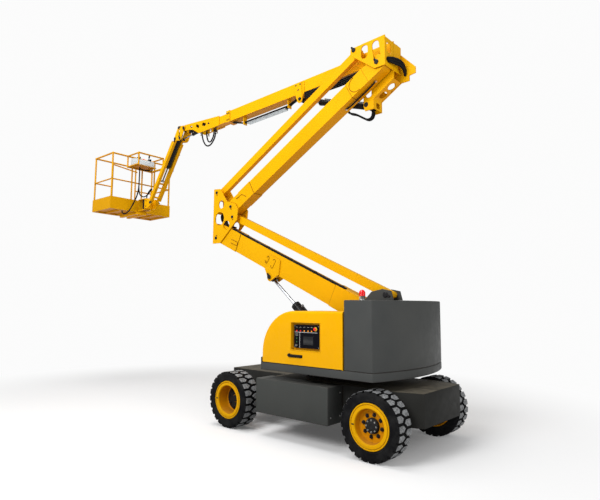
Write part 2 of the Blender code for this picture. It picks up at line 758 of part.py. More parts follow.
# Chassis
def chassis():
    start_body("chassis", (0, 0, 0), "machine")
    rear, front = -REAR_REACH, WHEELBASE + FRONT_REACH
    wide, narrow = REAR_WIDTH / 2, FRONT_WIDTH / 2
    low = DECK_TOP - DECK_DEPTH
    tail, taper = wide - REAR_TAPER_INSET, rear + REAR_TAPER
    right = ((rear, -tail), (taper, -wide), (WIDE_FRAME_END, -wide), (WIDE_FRAME_END, -narrow),
             (front, -narrow))
    outline = right + tuple((x, -y) for x, y in reversed(right))
    axle_room = [box(x - AXLE_RADIUS - SEAT_GAP, x + AXLE_RADIUS + SEAT_GAP, -wide - OVERRUN,
                     wide + OVERRUN, 0, TYRE_RADIUS + AXLE_RADIUS + SEAT_GAP) for x in (0, WHEELBASE)]
    fuse("chassis_frame", "chassis", "grey", [plan_prism(outline, low, DECK_TOP)], axle_room)
    for side, name in ((1, "left"), (-1, "right")):
        inner, outer = sorted((side * (wide + SEAT_GAP), side * SIDE_BOX_FACE))
        fuse("side_box_" + name, "chassis", "grey",
             [box(SIDE_BOX_START, SIDE_BOX_END, inner, outer,
                  DECK_TOP - SIDE_BOX_HEIGHT, DECK_TOP)])
    slew = ((0, DECK_TOP + SEAT_GAP), (SLEW_RADIUS, DECK_TOP + SEAT_GAP),
            (SLEW_RADIUS, TRAY_BOTTOM - SEAT_GAP), (0, TRAY_BOTTOM - SEAT_GAP))
    fuse("slew_ring", "chassis", "dark", [upright(slew, SLEW_X, 0)])
    rear_axle()
    front_axle()


def rear_axle():
    """The drive axle: a square housing under the frame with a round end at each wheel hub."""
    end = REAR_WIDTH / 2 + AXLE_STUB - SEAT_GAP
    body = REAR_WIDTH / 2
    housing = box(-AXLE_RADIUS, AXLE_RADIUS, -body, body, TYRE_RADIUS - AXLE_RADIUS,
                  TYRE_RADIUS + AXLE_RADIUS)
    ends = cross_pin((0, TYRE_RADIUS), AXLE_END_SHARE * AXLE_RADIUS, -end, end, WHEEL_STEPS)
    fuse("rear_axle", "chassis", "dark", [housing, ends])


def front_axle():
    """The steer axle: a beam that ends in a fork round each kingpin."""
    half = KINGPIN_HEIGHT / 2
    beam_end = KINGPIN_Y - KINGPIN_RADIUS - CLEAR * 2
    reach = KINGPIN_Y + KINGPIN_RADIUS
    wide = BEAM_WIDTH_SHARE * AXLE_RADIUS
    shapes = [box(WHEELBASE - wide, WHEELBASE + wide, -beam_end, beam_end,
                  TYRE_RADIUS - AXLE_RADIUS, TYRE_RADIUS + AXLE_RADIUS)]
    for side in (1, -1):
        y0, y1 = sorted((side * (beam_end - PLATE), side * beam_end))
        shapes.append(box(WHEELBASE - KINGPIN_RADIUS, WHEELBASE + KINGPIN_RADIUS, y0, y1,
                          TYRE_RADIUS - half - PLATE, TYRE_RADIUS + half + PLATE))
        y0, y1 = sorted((side * (beam_end - PLATE), side * reach))
        for z in (TYRE_RADIUS + half, TYRE_RADIUS - half - PLATE):
            shapes.append(box(WHEELBASE - KINGPIN_RADIUS, WHEELBASE + KINGPIN_RADIUS, y0, y1, z, z + PLATE))
    fuse("front_axle", "chassis", "dark", shapes)


def steering():
    half = KINGPIN_HEIGHT / 2 - SEAT_GAP
    inner = -FRONT_NECK_SHARE * RIM_DEPTH
    disc = -FRONT_DISC_SHARE * RIM_DEPTH
    arm_z = TYRE_RADIUS - KINGPIN_HEIGHT / 2 + PLATE
    for name, side in (("fl", 1), ("fr", -1)):
        y = side * KINGPIN_Y
        start_body("knuckle_" + name, (WHEELBASE, y, TYRE_RADIUS), "chassis")
        boss = bar((WHEELBASE, y, TYRE_RADIUS - half), (WHEELBASE, y, TYRE_RADIUS + half), KINGPIN_RADIUS,
                   PIN_STEPS)
        flange = cross_pin((WHEELBASE, TYRE_RADIUS), SPINDLE_FLANGE_SHARE * SPINDLE_RADIUS, y,
                           side * (WHEEL_Y + inner - SEAT_GAP))
        spindle = cross_pin((WHEELBASE, TYRE_RADIUS), SPINDLE_RADIUS, y,
                            side * (WHEEL_Y + disc - SEAT_GAP))
        width = STEER_ARM_WIDTH_SHARE * KINGPIN_RADIUS
        arm = box(WHEELBASE - STEER_ARM - width, WHEELBASE, y - width, y + width, arm_z, arm_z + PLATE)
        fuse("steer_knuckle_" + name, "knuckle_" + name, "dark", [boss, flange, spindle, arm])
    start_body("tie_rod", (WHEELBASE - STEER_ARM, 0, arm_z), "chassis")
    rod_z = arm_z - 2 * TIE_ROD_RADIUS
    rod_x = WHEELBASE - STEER_ARM
    reach = KINGPIN_Y + TIE_ROD_RADIUS
    shapes = [bar((rod_x, -reach, rod_z), (rod_x, reach, rod_z), TIE_ROD_RADIUS)]
    for side in (1, -1):
        y = side * KINGPIN_Y
        shapes.append(bar((rod_x, y, rod_z), (rod_x, y, arm_z - SEAT_GAP),
                          BALL_STUD_SHARE * TIE_ROD_RADIUS))
    fuse("tie_rod", "tie_rod", "dark", shapes)


# Turret
def tail_outline(front):
    """The turret's plan, with square front corners and a bulging tail."""
    half = HALF_TURRET
    points = [(front, -half), (front, half)]
    for i in range(TAIL_STEPS + 1):
        y = half - 2 * half * i / TAIL_STEPS
        points.append((TAIL_CORNER - TAIL_BULGE * (1 - (y / half) ** 2), y))
    return points


def turret():
    start_body("turret", (SLEW_X, 0, TRAY_BOTTOM), "chassis")
    tray = plan_prism(tail_outline(TRAY_FRONT), TRAY_BOTTOM, TRAY_TOP)
    lip = box(HOOD_FRONT + SEAT_GAP, TRAY_FRONT, -HALF_TURRET, HALF_TURRET, TRAY_TOP - LAP,
              TRAY_TOP + TRAY_LIP)
    gap = box(HOOD_FRONT - OVERRUN, TRAY_FRONT + OVERRUN, -HOOD_INNER_Y, HOOD_INNER_Y, TRAY_TOP,
              TRAY_TOP + TRAY_LIP + OVERRUN)
    fuse("turret_tray", "turret", "grey", [tray, lip], [gap])
    weight = plan_prism(tail_outline(WEIGHT_FRONT), TRAY_TOP + SEAT_GAP, WEIGHT_TOP)
    fuse("counterweight", "turret", "grey", [weight])
    for side, name in ((1, "left"), (-1, "right")):
        hood(side, name)
    panel = box(RECESS_START + RECESS_DEPTH / 2, RECESS_START + RECESS_LENGTH - RECESS_DEPTH / 2,
                HALF_TURRET - RECESS_DEPTH + SEAT_GAP, HALF_TURRET - RECESS_DEPTH / 2,
                RECESS_BOTTOM + RECESS_DEPTH / 2, RECESS_BOTTOM + RECESS_HEIGHT - RECESS_DEPTH / 2)
    fuse("ground_panel", "turret", "dark", [panel])
    riser_stand()
    beacon()


def beacon():
    """The flashing lamp: a dome on a base that stands on the counterweight."""
    base = WEIGHT_TOP + SEAT_GAP
    dome = [(a * BEACON_RADIUS, base + b * BEACON_HEIGHT) for a, b in BEACON_SHARES]
    dome = [(0, base)] + dome + [(0, base + BEACON_HEIGHT)]
    fuse("beacon", "turret", "red", [upright(dome, BEACON_X, BEACON_Y, PIN_STEPS)])


def hood(side, name):
    """A moulded cover with one big round corner at its front and top."""
    low = TRAY_TOP + SEAT_GAP
    middle = (HOOD_FRONT - HOOD_CORNER, HOOD_TOP - HOOD_CORNER)
    steps = 2 * ARC_STEPS
    outline = [(HOOD_REAR, low), (HOOD_FRONT, low)]
    for i in range(steps + 1):
        t = pi / 2 * i / steps
        outline.append((middle[0] + HOOD_CORNER * cos(t), middle[1] + HOOD_CORNER * sin(t)))
    outline.append((HOOD_REAR, HOOD_TOP))
    y0, y1 = sorted((side * HOOD_INNER_Y, side * HALF_TURRET))
    cuts = []
    if side > 0:
        cuts.append(box(RECESS_START, RECESS_START + RECESS_LENGTH, HALF_TURRET - RECESS_DEPTH,
                        HALF_TURRET + OVERRUN, RECESS_BOTTOM, RECESS_BOTTOM + RECESS_HEIGHT))
    fuse("hood_" + name, "turret", "yellow", [prism(outline, y0, y1)], cuts)


def riser_stand():
    """Two plates from the tray up to the riser's pivot, cranked back over the counterweight."""
    low = TRAY_TOP + SEAT_GAP
    over = WEIGHT_TOP + CLEAR
    front = WEIGHT_FRONT + CLEAR * 2
    cylinder_x = RISER_CYLINDER_BASE[0]
    tie_x, tie_z = TIE_PIVOT
    places = {"rear_foot": (front, low), "front_foot": (cylinder_x, low), "cylinder": RISER_CYLINDER_BASE,
              "riser": RISER_PIVOT, "crank": (front, tie_z), "tie": TIE_PIVOT, "tail": (tie_x, over),
              "step": (front, over)}
    outline = corners_near(places, STAND_SHARES, STAND_MARGIN)
    shapes = [prism(outline, side * PLATE_Y - PLATE if side > 0 else -PLATE_Y,
                    PLATE_Y if side > 0 else PLATE - PLATE_Y) for side in (1, -1)]
    shapes += [plate_pin(centre) for centre in (RISER_PIVOT, TIE_PIVOT, RISER_CYLINDER_BASE)]
    fuse("riser_stand", "turret", "grey", shapes)


# Members between two pins
def pinned(name, body, colour, link, length, height, width, reach, extras=()):
    """A straight member with round ends, a boss and a bore at each of its two pins."""
    radius = height / 2
    outline = round_end(length, radius) + [(-s, -h) for s, h in round_end(0, radius)]
    shapes = [prism(link.points(outline), -width / 2, width / 2)]
    holes = []
    for s in (0, length):
        centre = link.at(s)
        shapes.append(cross_pin(centre, PIN_RADIUS + BOSS_WALL, -reach, reach))
        holes.append(bore(centre, PIN_RADIUS, -reach, reach))
    fuse(name, body, colour, shapes + list(extras), holes)


def lower_riser():
    start_body("lower_riser", (RISER_PIVOT[0], 0, RISER_PIVOT[1]), "turret")
    low = LOWER_AXIS_RISE - LOWER_HEIGHT / 2
    high = LOWER_AXIS_RISE + LOWER_HEIGHT / 2
    end = PIN_RADIUS + 2 * BOSS_WALL
    cap = [(a * end, b * low + c * high) for a, b, c in RISER_CAP_SHARES]
    outline = [(LOWER_LENGTH + s, h) for s, h in cap] + [(-s, h) for s, h in reversed(cap)]
    half = RISER_WIDTH / 2
    shapes = [prism(LOWER_RISER.points(outline), -half, half)]
    for s0, s1 in ((end, COLLAR_LENGTH), (LOWER_LENGTH - COLLAR_LENGTH, LOWER_LENGTH - end)):
        collar = ((s0, low - COLLAR), (s1, low - COLLAR), (s1, high + COLLAR), (s0, high + COLLAR))
        shapes.append(prism(LOWER_RISER.points(collar), -half - COLLAR, half + COLLAR))
    s, h = RISER_BRACKET_S, RISER_BRACKET_H
    reach = RISER_BRACKET_REACH
    levels = {"foot": (0, low), "skin": (low, LAP), "pin": (h, reach), "top": (0, high)}
    ear = ear_points(s, reach, levels, RISER_EAR_SHARES)
    for side in (1, -1):
        y0, y1 = sorted((side * (half - LAP), side * (half + PLATE)))
        shapes.append(prism(LOWER_RISER.points(ear), y0, y1))
        y0, y1 = sorted((side * (half - LAP), side * (half + PLATE + PIN_HEAD)))
        shapes.append(cross_pin(RISER_BRACKET_PIN, PIN_RADIUS, y0, y1))
    holes = []
    for pin_s in (0, LOWER_LENGTH):
        centre = LOWER_RISER.at(pin_s)
        shapes.append(cross_pin(centre, PIN_RADIUS + BOSS_WALL, -BOSS_REACH, BOSS_REACH))
        holes.append(bore(centre, PIN_RADIUS, -BOSS_REACH, BOSS_REACH))
    fuse("lower_riser", "lower_riser", "yellow", shapes, holes)


def ties():
    for name, link, length, height, pivot, parent in (
            ("lower_tie", LOWER_TIE, LOWER_LENGTH, LOWER_TIE_HEIGHT, TIE_PIVOT, "turret"),
            ("upper_tie", UPPER_TIE, UPPER_LENGTH, UPPER_TIE_HEIGHT, UPPER_TIE_PIVOT, "lower_knuckle")):
        start_body(name, (pivot[0], 0, pivot[1]), parent)
        pinned(name, name, "yellow", link, length, height, TIE_WIDTH, BOSS_REACH)


def lower_knuckle():
    """Two plates cut to one outline, held apart by their pins and a front web."""
    x, z = KNUCKLE_LOW
    start_body("lower_knuckle", (x, 0, z), "lower_riser")
    depth, height = KNUCKLE_BACK + KNUCKLE_FRONT, KNUCKLE_FOOT + KNUCKLE_HEAD
    back, foot = x - KNUCKLE_BACK, z - KNUCKLE_FOOT
    outline = [(back + a * depth, foot + b * height) for a, b in KNUCKLE_SHARES]
    shapes = [prism(outline, PLATE_Y - PLATE, PLATE_Y), prism(outline, -PLATE_Y, PLATE - PLATE_Y)]
    shapes += [plate_pin(centre) for centre in (KNUCKLE_LOW, KNUCKLE_TIE, UPPER_PIVOT, UPPER_TIE_PIVOT)]
    front = x + KNUCKLE_FRONT - PLATE
    inner = PLATE_Y - LAP
    web_low, web_high = (foot + share * height for share in KNUCKLE_WEB_SHARES)
    shapes.append(box(front - THIN_PLATE, front, -inner, inner, web_low, web_high))
    through = PLATE_Y + OVERRUN
    cuts = [cross_pin((back + a * depth, foot + b * height), r * depth, -through, through)
            for a, b, r in KNUCKLE_HOLE_SHARES]
    fuse("lower_knuckle", "lower_knuckle", "yellow", shapes, cuts)


def upper_riser():
    start_body("upper_riser", (UPPER_PIVOT[0], 0, UPPER_PIVOT[1]), "lower_knuckle")
    half, wide = UPPER_HEIGHT / 2 + COLLAR / 2, RISER_WIDTH / 2 + COLLAR
    extras = []
    far = UPPER_LENGTH - COLLAR_LENGTH
    for s0, s1 in ((UPPER_HEIGHT, COLLAR_LENGTH), (far, UPPER_LENGTH - UPPER_HEIGHT)):
        collar = ((s0, -half), (s1, -half), (s1, half), (s0, half))
        extras.append(prism(UPPER_RISER.points(collar), -wide, wide))
    pinned("upper_riser", "upper_riser", "yellow", UPPER_RISER, UPPER_LENGTH, UPPER_HEIGHT, RISER_WIDTH,
           BOSS_REACH, extras)


def top_knuckle():
    """Two plates round the upper riser, a far plate, and a tail for the boom's cylinder."""
    x, z = TOP_PIVOT
    start_body("top_knuckle", (x, 0, z), "upper_riser")
    near = [(x + a * UPPER_TIE_DX, z + b * UPPER_TIE_DZ) for a, b in TOP_SHARES]
    tail = [(x + a * BOOM_CYLINDER_DX, z + b * BOOM_CYLINDER_DZ) for a, b in TAIL_SHARES]
    rear = [(x + a * BOOM_CYLINDER_DX, z + b * BOOM_CYLINDER_DZ) for a, b in FAR_REAR_SHARES]
    middle = near[:4] + tail + near[5:]
    far = tail + rear
    inner = PLATE_Y - PLATE
    far_y = BOOM_Y - BOOM_WIDTH / 2 - CLEAR
    shapes = [prism(near, inner, PLATE_Y), prism(middle, -PLATE_Y, -inner),
              prism(far, far_y - PLATE, far_y)]
    shapes += [plate_pin(centre) for centre in (TOP_PIVOT, TOP_TIE)]
    for centre in (BOOM_PIVOT, BOOM_CYLINDER_BASE):
        shapes.append(cross_pin(centre, PIN_RADIUS, far_y - LAP, LAP - PLATE_Y))
    back = near[0][0] + LAP
    web_low, web_high = (z + share * UPPER_TIE_DZ for share in TOP_WEB_SHARES)
    shapes.append(box(back, back + THIN_PLATE, far_y - LAP, PLATE_Y - LAP, web_low, web_high))
    skin = [offset(tail[i], LAP, LAP) for i in (3, 4, 5)]
    strip = skin + [offset(p, THIN_PLATE, THIN_PLATE) for p in reversed(skin)]
    shapes.append(prism(strip, far_y - LAP, -PLATE_Y + LAP))
    slot = TOP_SLOT_RADIUS_SHARE * UPPER_TIE_DZ
    cuts = [cross_pin((x + a * UPPER_TIE_DX, z + b * UPPER_TIE_DZ), slot, inner - OVERRUN, PLATE_Y + OVERRUN)
            for a, b in TOP_SLOT_SHARES]
    fuse("top_knuckle", "top_knuckle", "yellow", shapes, cuts)


def cylinder(name, parent, base, eye, y, barrel, radius, rod_radius, inside, pin_width, eye_width,
             pin=PIN_RADIUS):
    """A barrel with a blind bore, and a rod whose eye stands between its bracket's plates."""
    link = link_between(base, eye)
    length = span(base, eye)
    start_body(name + "_barrel", (base[0], y, base[1]), parent)

    def round_bar(s0, s1, r, steps=PIN_STEPS):
        a, b = link.at(s0), link.at(s1)
        return bar((a[0], y, a[1]), (b[0], y, b[1]), r, steps)

    shapes = [round_bar(0, barrel, radius), round_bar(barrel - radius, barrel, GLAND_SHARE * radius),
              cross_pin(base, pin + BOSS_WALL, y - pin_width, y + pin_width)]
    cuts = [bore(base, pin, y - pin_width, y + pin_width),
            round_bar(2 * pin + BOSS_WALL, barrel + OVERRUN, rod_radius + RUN_GAP)]
    fuse(name + "_barrel", name + "_barrel", "dark", shapes, cuts)
    start_body(name + "_rod", (eye[0], y, eye[1]), name + "_barrel")
    eye_radius = rod_radius * EYE_SHARE
    shapes = [round_bar(barrel - inside, length - eye_radius / 2, rod_radius),
              cross_pin(eye, eye_radius, y - eye_width, y + eye_width)]
    fuse(name + "_rod", name + "_rod", "chrome", shapes)


def main_boom():
    start_body("main_boom", (BOOM_PIVOT[0], BOOM_Y, BOOM_PIVOT[1]), "top_knuckle")
    half, wide = BOOM_HEIGHT / 2, BOOM_WIDTH / 2
    back = [(-s, -h) for s, h in round_end(0, half)]
    outline = back + [(BOOM_LENGTH, -half), (BOOM_LENGTH, half)]
    y0, y1 = BOOM_Y - wide, BOOM_Y + wide
    boss = (y0 - CLEAR + SEAT_GAP, -PLATE_Y - SEAT_GAP)
    shapes = [prism(BOOM.points(outline), y0, y1), cross_pin(BOOM_PIVOT, PIN_RADIUS + BOSS_WALL, *boss)]
    collar = ((BOOM_LENGTH - FRONT_COLLAR, -half - COLLAR), (BOOM_LENGTH, -half - COLLAR),
              (BOOM_LENGTH, half + 2 * COLLAR), (BOOM_LENGTH - FRONT_COLLAR, half + 2 * COLLAR))
    shapes.append(prism(BOOM.points(collar), y0 - COLLAR, y1 + COLLAR))
    s, h = BOOM_BRACKET_S, BOOM_BRACKET_H
    levels = {"side": (0, half), "under": (0, half + LAP), "pin": (h, BOOM_EAR_REACH)}
    ear = ear_points(s, BOOM_EAR_REACH, levels, BOOM_EAR_SHARES)
    for a, b, c in ((y1 - LAP, y1 + THIN_PLATE, y1 + THIN_PLATE + PIN_HEAD / 2),
                    (y0 + LAP, y0 - THIN_PLATE, y0 - THIN_PLATE - PIN_HEAD / 2)):
        shapes.append(prism(BOOM.points(ear), *sorted((a, b))))
        shapes.append(cross_pin(BOOM_EYE, PIN_RADIUS, *sorted((a, c))))
    hangers = [BOOM_LENGTH - share * BOOM_LENGTH for share in HANGER_SHARES]
    drop = HANGER_DROP_SHARE * half
    hanger_y = [BOOM_Y + share * wide for share in HANGER_SIDE_SHARES]
    for hanger in hangers:
        end = hanger + PLATE
        plate = ((hanger, LAP - half), (hanger, -drop), (end, -drop), (end, LAP - half))
        shapes.append(prism(BOOM.points(plate), *hanger_y))
    room_w, room_h = INNER_WIDTH / 2 + CLEAR, INNER_HEIGHT / 2 + CLEAR
    pad_w, pad_h = INNER_WIDTH / 2 + RUN_GAP / 2, INNER_HEIGHT / 2 + RUN_GAP / 2
    deep, front = BOOM_LENGTH - POCKET_DEPTH, BOOM_LENGTH - FRONT_COLLAR
    pocket = ((deep, -room_h), (front, -room_h), (front, room_h), (deep, room_h))
    mouth = ((BOOM_LENGTH - 2 * FRONT_COLLAR, -pad_h), (BOOM_LENGTH + OVERRUN, -pad_h),
             (BOOM_LENGTH + OVERRUN, pad_h), (BOOM_LENGTH - 2 * FRONT_COLLAR, pad_h))
    cuts = [prism(BOOM.points(mouth), BOOM_Y - pad_w, BOOM_Y + pad_w),
            prism(BOOM.points(pocket), BOOM_Y - room_w, BOOM_Y + room_w),
            bore(BOOM_PIVOT, PIN_RADIUS, *boss)]
    fuse("main_boom", "main_boom", "yellow", shapes, cuts)
    carrier_h = -CARRIER_DROP_SHARE * drop
    a, b = BOOM.at(hangers[1] + PLATE + SEAT_GAP, carrier_h), BOOM.at(hangers[0] - SEAT_GAP, carrier_h)
    fuse("hose_carrier", "main_boom", "chrome",
         [bar((a[0], BOOM_Y, a[1]), (b[0], BOOM_Y, b[1]), CARRIER_RADIUS)])


def inner_boom():
    """The sliding tube with its head: two plates with an arch and a row of holes."""
    start_body("inner_boom", (BOOM.at(BOOM_LENGTH)[0], BOOM_Y, BOOM.at(BOOM_LENGTH)[1]), "main_boom")
    half, wide = INNER_HEIGHT / 2, INNER_WIDTH / 2
    head_s = BOOM_LENGTH + HEAD_START
    reach = TIP_S - head_s
    s0, s1 = BOOM_LENGTH - INNER_INSIDE, head_s + HEAD_LAP_SHARE * reach
    tube = ((s0, -half), (s1, -half), (s1, half), (s0, half))
    shapes = [prism(BOOM.points(tube), BOOM_Y - wide, BOOM_Y + wide)]
    outline = [(head_s + a * reach, b * BOOM_HEIGHT) for a, b in HEAD_SHARES]
    holes = [(head_s + a * reach, b * BOOM_HEIGHT, c * BOOM_HEIGHT) for a, b, c in HEAD_HOLE_SHARES]
    inner = wide - LAP
    for y0, y1 in ((inner, HEAD_PLATE_Y), (-HEAD_PLATE_Y, -inner)):
        shapes.append(prism(BOOM.points(outline), BOOM_Y + y0, BOOM_Y + y1))
    for centre in (TIP, LEVEL_BASE):
        shapes.append(cross_pin(centre, JIB_PIN_RADIUS, BOOM_Y - HEAD_PLATE_Y, BOOM_Y + HEAD_PLATE_Y))
    cuts = [cross_pin(BOOM.at(s, h), r, BOOM_Y - HEAD_PLATE_Y - OVERRUN, BOOM_Y + HEAD_PLATE_Y + OVERRUN)
            for s, h, r in holes]
    fuse("inner_boom", "inner_boom", "yellow", shapes, cuts)


def jib_link():
    """The pair of link plates at the boom's tip, which hold the jib and its cylinder."""
    start_body("jib_link", (TIP[0], BOOM_Y, TIP[1]), "inner_boom")
    pins = {"tip": TIP, "upper": LINK_UPPER, "arm": LINK_ARM, "level": LINK_LEVEL}
    outline = corners_near(pins, LINK_SHARES, LINK_MARGIN)
    shapes = []
    inner = LINK_PLATE_Y - LINK_PLATE
    for y0, y1 in ((inner, LINK_PLATE_Y), (-LINK_PLATE_Y, -inner)):
        shapes.append(prism(outline, BOOM_Y + y0, BOOM_Y + y1))
    outer = inner + LAP
    shapes.append(cross_pin(LINK_UPPER, JIB_PIN_RADIUS, BOOM_Y - outer, BOOM_Y + outer))
    stubs = (
        # place, radius, reach of its inner end
        (LINK_ARM, JIB_PIN_RADIUS, JIB_EAR_INNER),
        (LINK_LEVEL, LEVEL_PIN_RADIUS, JIB_EAR_INNER / 2),
        (TIP, JIB_PIN_RADIUS, HEAD_PLATE_Y),
    )
    for centre, radius, start in stubs:
        for side in (1, -1):
            y0, y1 = sorted((BOOM_Y + side * (start + SEAT_GAP), BOOM_Y + side * outer))
            shapes.append(cross_pin(centre, radius, y0, y1))
    fuse("jib_link", "jib_link", "yellow", shapes)


def jib_arm():
    """Twin tubes side by side, with an ear inside each end and a bar that takes the cylinder."""
    start_body("jib_arm", (LINK_ARM[0], BOOM_Y, LINK_ARM[1]), "jib_link")
    half, wide = JIB_TUBE_DEPTH / 2, JIB_TUBE_WIDTH / 2
    ear_outer = LINK_PLATE_Y - LINK_PLATE - SEAT_GAP
    shapes, cuts = [], []
    radius = JIB_EAR_SHARE * half
    ear = round_end(JIB_LENGTH, radius) + [(-s, -h) for s, h in round_end(0, radius)]
    s0, s1 = JIB_TUBE_START, JIB_LENGTH - JIB_TUBE_START
    tube = ((s0, -half), (s1, -half), (s1, half), (s0, half))
    for side in (1, -1):
        y0, y1 = sorted((BOOM_Y + side * JIB_EAR_INNER, BOOM_Y + side * ear_outer))
        shapes.append(prism(JIB.points(ear), y0, y1))
        y0, y1 = sorted((BOOM_Y + side * (JIB_TUBE_Y - wide), BOOM_Y + side * (JIB_TUBE_Y + wide)))
        shapes.append(prism(JIB.points(tube), y0, y1))
    bar_radius = JIB_BAR_SHARE * PIN_RADIUS
    beyond = JIB_EYE_S + EYE_SHARE * JIB_ROD_RADIUS + bar_radius + JIB_BAR_GAP
    for place in (JIB.at(beyond), JIB.at(JIB_LENGTH - 2 * JIB_TUBE_START, -half / 2)):
        shapes.append(cross_pin(place, bar_radius, BOOM_Y - JIB_TUBE_Y, BOOM_Y + JIB_TUBE_Y))
    for centre in (LINK_ARM, MOUNT_PIN):
        cuts.append(bore(centre, JIB_PIN_RADIUS, BOOM_Y - ear_outer, BOOM_Y + ear_outer))
    fuse("jib_arm", "jib_arm", "yellow", shapes, cuts)


def basket_mount():
    """The levelled mount at the jib's end: slotted side plates and a stand for the rotator."""
    start_body("basket_mount", (MOUNT_PIN[0], BOOM_Y, MOUNT_PIN[1]), "jib_arm")
    x, z = MOUNT_PIN
    half = ROTATOR_HEIGHT / 2
    mid = z + ROTATOR_DZ
    front = ROTATOR_X - ROTATOR_RADIUS - SEAT_GAP
    low, high = mid - half + CLEAR, mid + half - CLEAR
    places = {"pin": MOUNT_PIN, "low": (x, low), "front_low": (front, low), "front_top": (front, high),
              "top": (x, high)}
    outline = corners_near(places, MOUNT_SHARES, LINK_MARGIN)
    inner = LINK_PLATE_Y - LINK_PLATE
    shapes = []
    for y0, y1 in ((inner, LINK_PLATE_Y), (-LINK_PLATE_Y, -inner)):
        shapes.append(prism(outline, BOOM_Y + y0, BOOM_Y + y1))
        side = 1 if y0 > 0 else -1
        stub = sorted((BOOM_Y + side * (inner + LAP), BOOM_Y + side * (JIB_EAR_INNER + SEAT_GAP)))
        shapes.append(cross_pin(MOUNT_PIN, JIB_PIN_RADIUS, *stub))
    shapes.append(box(front - PLATE, front, BOOM_Y - inner - LAP, BOOM_Y + inner + LAP, low, high))
    fuse("basket_mount", "basket_mount", "yellow", shapes)
    housing = ((0, mid - half), (ROTATOR_RADIUS, mid - half), (ROTATOR_RADIUS, mid + half), (0, mid + half))
    fuse("rotator", "basket_mount", "dark", [upright(housing, ROTATOR_X, BOOM_Y, WHEEL_STEPS)])


def basket():
    """The platform: floor, rails, the fork that carries it, its console and the entrance bar."""
    start_body("basket", (ROTATOR_X, BOOM_Y, MOUNT_PIN[1]), "basket_mount")
    x0, x1 = BASKET_REAR, BASKET_REAR + BASKET_LENGTH
    y1, y0 = BOOM_Y + BASKET_WIDTH / 2, BOOM_Y - BASKET_WIDTH / 2
    basket_floor(x0, x1, y0, y1)
    inset = FLOOR_SKIN + RAIL_RADIUS + SEAT_GAP
    xa, xb, ya, yb = x0 + inset, x1 - inset, y0 + inset, y1 - inset

    def y_at(share):
        return yb - share * (yb - ya)

    top = BASKET_FLOOR + BASKET_RAIL_HEIGHT
    under = top - GUARD_DROP_SHARE * BASKET_RAIL_HEIGHT
    gate_y = [y_at(share) for share in GATE_POST_SHARES]
    shapes = rails(xa, xb, ya, yb, y_at, top) + guard(xa, y_at, top, under)
    fuse("basket_rails", "basket", "yellow", shapes)
    console(xa, y_at, top, under)
    basket_bracket(x0, BASKET_FLOOR)
    gate(xb, *gate_y, top)


def basket_floor(x0, x1, y0, y1):
    """A plate on a frame of bars, with toe boards round its edge."""
    low, high = BASKET_FLOOR, BASKET_FLOOR + FLOOR_BAR + LAP / 2
    skin = BASKET_FLOOR + FLOOR_BAR
    shapes = [box(x0, x1, y0, y1, skin, skin + FLOOR_SKIN)]
    edge = FLOOR_SKIN + 2 * RAIL_RADIUS + CLEAR
    shapes.append(box(x0 + edge, x1 - edge, y0 + edge, y1 - edge, skin + FLOOR_SKIN / 2,
                      skin + FLOOR_SKIN + FLOOR_PANEL))
    for a, b in ((x0, x0 + FLOOR_BAR), (x1 - FLOOR_BAR, x1)):
        shapes.append(box(a, b, y0, y1, low, high))
    for i in range(FLOOR_BAR_COUNT):
        a = y0 + (y1 - y0 - FLOOR_BAR) * i / (FLOOR_BAR_COUNT - 1)
        shapes.append(box(x0 + LAP, x1 - LAP, a, a + FLOOR_BAR, low, high))
    toe_low, toe_high = skin + FLOOR_SKIN - LAP, BASKET_FLOOR + TOE_HEIGHT
    for a, b in ((y0, y0 + FLOOR_SKIN), (y1 - FLOOR_SKIN, y1)):
        shapes.append(box(x0, x1, a, b, toe_low, toe_high))
    for a, b in ((x0, x0 + FLOOR_SKIN), (x1 - FLOOR_SKIN, x1)):
        shapes.append(box(a, b, y0, y1, toe_low, toe_high))
    fuse("basket_floor", "basket", "yellow", shapes)


def rails(xa, xb, ya, yb, y_at, top):
    """Posts inside the toe boards, a top rail all round, and a mid rail that leaves the entrance open."""
    r = RAIL_RADIUS
    foot = BASKET_FLOOR + FLOOR_BAR + FLOOR_SKIN + SEAT_GAP
    mid = BASKET_FLOOR + BASKET_MID_HEIGHT
    corners = ((xa, ya), (xb, ya), (xb, yb), (xa, yb))
    shapes = [bar((x, y, foot), (x, y, top), r) for x, y in corners]
    for x, shares in ((xa, REAR_POST_SHARES), (xb, GATE_POST_SHARES)):
        shapes += [bar((x, y_at(s), foot), (x, y_at(s), top), POST_SHARE * r) for s in shares]
    for (ax, ay), (bx, by) in zip(corners, corners[1:] + corners[:1]):
        shapes.append(bar((ax, ay, top), (bx, by, top), r))
        if not (ax == xb and bx == xb):
            shapes.append(bar((ax, ay, mid), (bx, by, mid), MID_RAIL_SHARE * r))
    for y, share in ((yb, GATE_POST_SHARES[0]), (ya, GATE_POST_SHARES[1])):
        shapes.append(bar((xb, y, mid), (xb, y_at(share), mid), MID_RAIL_SHARE * r))
    return shapes


